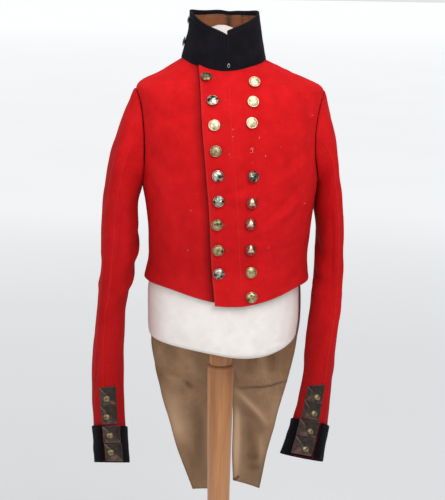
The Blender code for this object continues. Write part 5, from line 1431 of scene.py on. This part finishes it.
# ---------------------------------------------------------------- tails and their linings
tail_pieces = {}
for side, sign in (("left", 1), ("right", -1)):
    u, row = np.broadcast_arrays(np.linspace(0.010, 0.994, 72)[:, None], np.linspace(0, 5.988, 144)[None])
    plain = tail(u, row, sign)
    out = grid_out(plain)
    out = out * np.sign(out[..., 1].mean())
    outer = plain + out * tail_height(plain, sign)[..., None]
    edge, centre = distance_from(outer, line_u=0), distance_from(outer, line_u=-1)
    top, foot = distance_from(outer, line_v=0), distance_from(outer, line_v=-1)
    wear_and_painted_highlight = 0.5 * np.exp(-(np.minimum(np.minimum(edge, centre), foot) / 0.002) ** 2)
    # Darker towards the foot of the tail.
    grime_and_painted_light = 0.10 + 0.15 * ease(0.30, 0.0, foot / 0.5)
    tail_pieces[f"tail_{side}"] = cloth(f"coat_tail_{side}", outer, outer - out * CLOTH, SCARLET, (f"tail_{side}",), wear_and_painted_highlight=wear_and_painted_highlight, grime_and_painted_light=grime_and_painted_light, bulge=0.0002)
    u, row = np.broadcast_arrays(np.linspace(0, 1, 72)[:, None], np.linspace(0.04, 6.0, 144)[None])
    plain = tail(u, row, sign)
    out = grid_out(plain)
    out = out * np.sign(out[..., 1].mean())
    face = plain + out * (tail_height(plain, sign) - CLOTH - 2 * GAP)[..., None]
    inner = face - out * LINING
    x, z = plain[..., 0], plain[..., 2]
    flat = plain[..., [0, 2]]
    # On the linings, darker at the top, at the foot and in fold troughs: painted shade; pale on fold ridges: painted
    # highlight. The brown spots near the foot are a stain, the dark line is the seam; the linings are also darker along
    # their edges and, on the right one, towards the centre.
    shade = 0.40 * ease(0.84, 0.90, z) + 0.26 * ease(0.66, 0.575, z)
    lie = folds(flat, tail_folds(sign))
    if sign > 0:
        shade = shade - crease(flat, ((0.0300, 0.7690), (0.0522, 0.7632), (0.0727, 0.7637), (0.1025, 0.7668), (0.1197, 0.7735), (0.1480, 0.7860)), 0.0022, 0.95)
        for spot in ((0.0425, 0.5800), (0.0455, 0.5835), (0.0395, 0.5790)):
            shade = shade + 0.9 * specks(flat, (spot,), 0.0028)
        shade = shade + 0.10 * specks(flat, ((0.0677, 0.6670), (0.0744, 0.6242), (0.0788, 0.6017)), 0.016)
        pale = 0.75 * np.exp(-((x - 0.041) / 0.006) ** 2) * ease(0.74, 0.70, z) + 0.5 * -crease(flat, ((0.0340, 0.7680), (0.0625, 0.7337), (0.0843, 0.7114), (0.1050, 0.6860)), 0.005, 1.0)
    else:
        shade = shade + 0.25 * specks(flat, ((-0.0535, 0.7710), (-0.0480, 0.7660)), 0.006) + 0.22 * ease(-0.055, -0.030, x) * ease(0.55, 0.62, z)
        pale = 0.55 * specks(flat, ((-0.0813, 0.7323), (-0.0722, 0.6901), (-0.0790, 0.7100)), 0.022)
    # Fold ridges painted paler and troughs darker: painted highlight and painted shade.
    pale = pale + 0.6 * np.clip(lie / 0.0026, 0, 1)
    shade = shade + 0.38 * np.clip(-lie / 0.0026, 0, 1)
    edge = np.minimum(np.minimum(distance_from(inner, line_u=0), distance_from(inner, line_u=-1)), distance_from(inner, line_v=-1))
    shade = shade + 0.35 * np.exp(-(edge / 0.0025) ** 2)
    tail_pieces[f"lining_{side}"] = cloth(f"coat_tail_lining_{side}", face, inner, TAN, (f"tail_lining_{side}",), wear_and_painted_highlight=np.clip(pale, 0, 1), grime_and_painted_light=np.clip(shade, 0, 1), bulge=0.0005)
    for label, k in (("edge", 1), ("centre", -2)):
        stitches(f"stitch_tail_{label}_{side}", inner[k], -out[k], TAN_THREAD, pitch=0.0065, length=0.0026, radius=0.00030)
    stitches(f"stitch_tail_foot_{side}", inner[:, -3], -out[:, -3], TAN_THREAD, pitch=0.0065, length=0.0026, radius=0.00030)


# ---------------------------------------------------------------- dress form, pole, base
FORM_SIDES = 144
levels = np.concatenate([np.linspace(0.0, 2.0, 26, endpoint=False), np.linspace(2.0, 4.0, 34, endpoint=False), np.linspace(4.0, 9.0, 26, endpoint=False), np.linspace(9.0, 14.0, 44)])
angle = np.linspace(0, 2 * math.pi, FORM_SIDES, endpoint=False)[:, None]
angle, row = np.broadcast_arrays(angle, levels[None])
at = {n: by_row(FORM, FORM_COLUMNS, n, row) for n in FORM_COLUMNS}
c, s = power_round(angle, at["power"])
across = at["half_width"] * c
lift = np.interp(row, (0, 1, 2, 3), (1.0, 1.0, 0.35, 0.0)) * (FORM_EDGE_LIFT * (across / 0.12) ** 2 - FORM_EDGE_TILT * np.sin(math.pi * across / 0.135))
points = np.stack([at["shift"] + at["half_width"] * c, np.where(s < 0, -at["y_front"], at["y_back"]) * s, at["z"] + lift], -1)
flat = points[..., [0, 2]]
front = ease(0.02, -0.03, points[..., 1])
FORM_FOLDS = (
    ("ridge", 4, 1.3, ((0.070, 0.897), (0.090, 0.901), (0.112, 0.898))),
    ("trough", 4, 1.4, ((0.074, 0.905), (0.094, 0.909), (0.118, 0.905))),
    ("trough", 6, 0.9, ((-0.100, 0.905), (-0.080, 0.915), (-0.060, 0.912))),
    ("trough", 9, 0.8, ((-0.050, 0.940), (0.000, 0.930), (0.060, 0.936))),
    ("ridge", 8, 0.7, ((-0.040, 0.955), (0.010, 0.948), (0.060, 0.952))),
    ("trough", 5, 0.7, ((0.100, 0.930), (0.115, 0.950), (0.120, 0.975))),
)
height = folds(flat, FORM_FOLDS) * front + 0.0006 * ripple(points, 0.08, 101) * ease(1.05, 0.98, points[..., 2])
height = height - 0.0007 * np.exp(-((points[..., 0] - 0.0025) / 0.0012) ** 2) * ease(0.0, 0.02, points[..., 1])
spread_out = unit(points * np.array((1.0, 1.0, 0.0)))
points = points + spread_out * height[..., None]
nu, nv = points.shape[:2]
index = np.arange(nu * nv).reshape(nu, nv)
nxt = np.roll(index, -1, 0)
quads = np.stack([index[:, :-1], nxt[:, :-1], nxt[:, 1:], index[:, 1:]], -1).reshape(-1, 4).tolist()
rings, verts = [], points.reshape(-1, 3).tolist()
# The flat underside closes in a few rings, so its cover can pucker round the pole.
last = index[:, 0]
for k, share in enumerate((0.86, 0.62, 0.36, 0.17)):
    ring = points[:, 0] * share
    slope = min(max((share - 0.28) / 0.72, 0.0), 1.0)
    ring[:, 2] = FORM[0][0] + (points[:, 0, 2] - FORM[0][0]) * slope + 0.0005 * np.cos(22 * angle[:, 0]) * (1 - share) * (k < 2)
    ids = len(verts) + np.arange(nu)
    verts += ring.tolist()
    for i in range(nu):
        n = (i + 1) % nu
        quads.append([int(last[n]), int(last[i]), int(ids[i]), int(ids[n])])
    last = ids
quads.append([int(i) for i in last][::-1])
quads.append([int(i) for i in index[:, -1]])
grime_and_painted_light = np.zeros(len(verts))
# A dark line where the cover turns under at the lower edge, and the darker underside: painted shade. Soil patches low
# down, and greyer towards the top of the neck.
grime_and_painted_light[: nu * nv] = (0.30 * np.exp(-((points[..., 2] - 0.888) / 0.004) ** 2) + 0.10 * np.clip(ripple(points, 0.05, 103), 0, 1) * ease(1.0, 0.9, points[..., 2]) + 0.66 * ease(1.385, 1.415, points[..., 2])).reshape(-1)
grime_and_painted_light[nu * nv:] = 0.30
add("dress_form", verts, quads, JERSEY, {"grime_and_painted_light": grime_and_painted_light}, ("form_body",))


def turned(profile, sides, wobble=0.0):
    verts, faces = [(0, 0, profile[0][1])], []
    rings = profile[1:-1]
    for r, z in rings:
        verts += [(r * math.cos(2 * math.pi * k / sides), r * math.sin(2 * math.pi * k / sides), z) for k in range(sides)]
    verts.append((0, 0, profile[-1][1]))
    last = len(verts) - 1
    for k in range(sides):
        n = (k + 1) % sides
        faces.append((0, 1 + n, 1 + k))
        for j in range(len(rings) - 1):
            a, b = 1 + j * sides, 1 + (j + 1) * sides
            faces.append((a + k, a + n, b + n, b + k))
        a = 1 + (len(rings) - 1) * sides
        faces.append((a + k, a + n, last))
    return verts, faces


def rounded(corners, radius, steps=5):
    """A turned profile whose inner corners are rounded."""
    done = [corners[0]]
    for k in range(1, len(corners) - 1):
        a, b, c = (np.array(corners[q], float) for q in (k - 1, k, k + 1))
        r = min(radius, 0.45 * np.linalg.norm(a - b), 0.45 * np.linalg.norm(c - b))
        p, q = b + (a - b) / np.linalg.norm(a - b) * r, b + (c - b) / np.linalg.norm(c - b) * r
        for t in np.linspace(0, 1, steps):
            done.append(tuple((1 - t) ** 2 * p + 2 * t * (1 - t) * b + t * t * q))
    done.append(corners[-1])
    return done


def turned_piece(name, corners, radius, sides, material, nodes):
    verts, faces = turned(rounded(corners, radius), sides)
    v = np.array(verts)
    grime_and_painted_light = np.zeros(len(verts))
    for groove in (POLE_TOP - 0.0015, POLE_TOP + 0.021, BASE_H):
        grime_and_painted_light = np.maximum(grime_and_painted_light, 0.55 * np.exp(-((v[:, 2] - groove) / 0.0016) ** 2) * (np.hypot(v[:, 0], v[:, 1]) < 0.03))
    return add(name, verts, faces, material, {"grime_and_painted_light": grime_and_painted_light}, nodes)


FORM_UNDER = FORM[0][0]
turned_piece("pole_collar", ((0, POLE_TOP + GAP), (0.0200, POLE_TOP + GAP), (0.0204, POLE_TOP + 0.0040), (0.0206, POLE_TOP + 0.0120), (0.0200, POLE_TOP + 0.0190), (0.0186, POLE_TOP + 0.0210), (0.0204, POLE_TOP + 0.0238), (0.0204, POLE_TOP + 0.0262), (0.0187, POLE_TOP + 0.0285), (0.0185, FORM_UNDER - GAP), (0, FORM_UNDER - GAP)), 0.0012, 72, WOOD_UP, ("pole_neck",))
pole_z, pole_r = np.array(POLE)[:, 0], np.array(POLE)[:, 1]
shaft = [(0, POLE[0][0]), (POLE[0][1], POLE[0][0])] + [(float(np.interp(z, pole_z, pole_r)), float(z)) for z in np.linspace(0.08, 0.824, 14)]
shaft += [(0.0242, 0.8330), (0.0233, 0.8350), (0.0240, 0.8370), (0.0236, 0.8405), (0.0212, POLE_TOP), (0, POLE_TOP)]
turned_piece("stand_pole", shaft, 0.0022, 72, WOOD_UP, ("pole",))
turned_piece("stand_base", ((0, 0.0), (BASE_R - 0.004, 0.0), (BASE_R, 0.004), (BASE_R, BASE_H - 0.016), (BASE_R - 0.004, BASE_H - 0.013), (BASE_R - 0.010, BASE_H - 0.004), (BASE_R - 0.014, BASE_H), (0.05, BASE_H), (0.03, BASE_H), (0, BASE_H)), 0.003, 144, WOOD_FLAT, ("base",))


# ---------------------------------------------------------------- camera, floor, light
FOCAL_PX, DISTANCE, EYE, PITCH, ROLL, AROUND = 1333.0, 2.35, 1.505, math.radians(10.8), math.radians(0.95), math.radians(-4.0)
ahead = np.array((-math.sin(AROUND), math.cos(AROUND), 0.0))
right = np.array((math.cos(AROUND), math.sin(AROUND), 0.0))
looking = ahead * math.cos(PITCH) + np.array((0, 0, -math.sin(PITCH)))
upward = ahead * math.sin(PITCH) + np.array((0, 0, math.cos(PITCH)))
rolled_right = right * math.cos(ROLL) + upward * math.sin(ROLL)
rolled_up = -right * math.sin(ROLL) + upward * math.cos(ROLL)
lens = bpy.data.cameras.new("camera")
lens.sensor_fit, lens.sensor_height, lens.sensor_width = "VERTICAL", 36.0, 36.0
lens.lens = FOCAL_PX / 500 * 36.0
lens.clip_end = 2000
camera = bpy.data.objects.new("camera", lens)
spot = (DISTANCE * math.sin(AROUND), -DISTANCE * math.cos(AROUND), EYE)
camera.matrix_world = Matrix([[rolled_right[k], rolled_up[k], -looking[k], spot[k]] for k in range(3)] + [[0, 0, 0, 1]])
bpy.context.scene.collection.objects.link(camera)
bpy.context.scene.camera = camera

mesh = bpy.data.meshes.new("floor")
radii, sides = (0.6, 1.5, 4.0, 12.0, 40.0, 160.0, 600.0), 96
verts = [(0, 0, 0)] + [(r * math.cos(2 * math.pi * k / sides), r * math.sin(2 * math.pi * k / sides), 0) for r in radii for k in range(sides)]
faces = [(0, 1 + k, 1 + (k + 1) % sides) for k in range(sides)]
for q in range(len(radii) - 1):
    a, b = 1 + q * sides, 1 + (q + 1) * sides
    faces += [(a + k, b + k, b + (k + 1) % sides, a + (k + 1) % sides) for k in range(sides)]
mesh.from_pydata(verts, [], faces)
mat, tree, shader = graph("pale_floor")
where = node(tree, "ShaderNodeTexCoord").outputs["Object"]
tree.links.new(blend_colours(tree, spread(tree, noise(tree, where, 0.55, 2.0), 0.35, 0.65), rgba(0.790, 0.797, 0.808), rgba(0.820, 0.826, 0.835)), shader.inputs["Base Color"])
shader.inputs["Roughness"].default_value = 0.9
shader.inputs["Specular IOR Level"].default_value = 0.05
away = node(tree, "ShaderNodeVectorMath", operation="LENGTH", i0=where).outputs[1]
glow = maths(tree, "ADD", spread(tree, away, 1.5, 7.0, 0.15, 0.46), spread(tree, away, 7.0, 60.0, 0.0, 0.11))
tree.links.new(glow, shader.inputs["Emission Strength"])
shader.inputs["Emission Color"].default_value = rgba(0.99, 0.995, 1.0)
mesh.materials.append(mat)
floor = bpy.data.objects.new("floor", mesh)
bpy.context.scene.collection.objects.link(floor)


def softbox(name, place, target, width, height, watts, colour=(1, 1, 1)):
    light = bpy.data.lights.new(name, "AREA")
    light.shape, light.size, light.size_y, light.energy, light.color = "RECTANGLE", width, height, watts, colour
    made = bpy.data.objects.new(name, light)
    z = unit(np.array(place, float) - np.array(target, float))
    x = unit(np.cross((0, 0, 1.0), z))
    y = np.cross(z, x)
    made.matrix_world = Matrix([[x[k], y[k], z[k], place[k]] for k in range(3)] + [[0, 0, 0, 1]])
    bpy.context.scene.collection.objects.link(made)
    return made


softbox("key", (0.60, -1.72, 2.6), (0, 0, 1.2), 1.3, 1.3, 32)
softbox("fill", (-1.2, -2.1, 2.0), (0, 0, 1.15), 1.2, 1.4, 12.5)
softbox("top", (0.0, -0.2, 3.0), (0, 0, 1.2), 1.4, 1.2, 11)

world = bpy.data.worlds.new("studio")
bpy.context.scene.world = world
world.use_nodes = True
tree = world.node_tree
back = tree.nodes["Background"]
direction = node(tree, "ShaderNodeTexCoord").outputs["Generated"]
apart = node(tree, "ShaderNodeSeparateXYZ", Vector=direction)
dim = maths(tree, "MULTIPLY", spread(tree, apart.outputs[1], -0.93, -0.45, 0.15, 1.0), spread(tree, apart.outputs[2], 0.0, 0.8, 0.46, 0.75))
seen = node(tree, "ShaderNodeLightPath").outputs["Is Camera Ray"]
shade = blend_colours(tree, dim, rgba(0.0, 0.0, 0.0), rgba(0.97, 0.985, 1.0))
tree.links.new(blend_colours(tree, seen, shade, rgba(0.92, 0.925, 0.93)), back.inputs["Color"])
back.inputs["Strength"].default_value = 0.85

view = bpy.context.scene.view_settings
view.view_transform, view.look, view.exposure, view.gamma = "Standard", "None", 0.0, 1.0
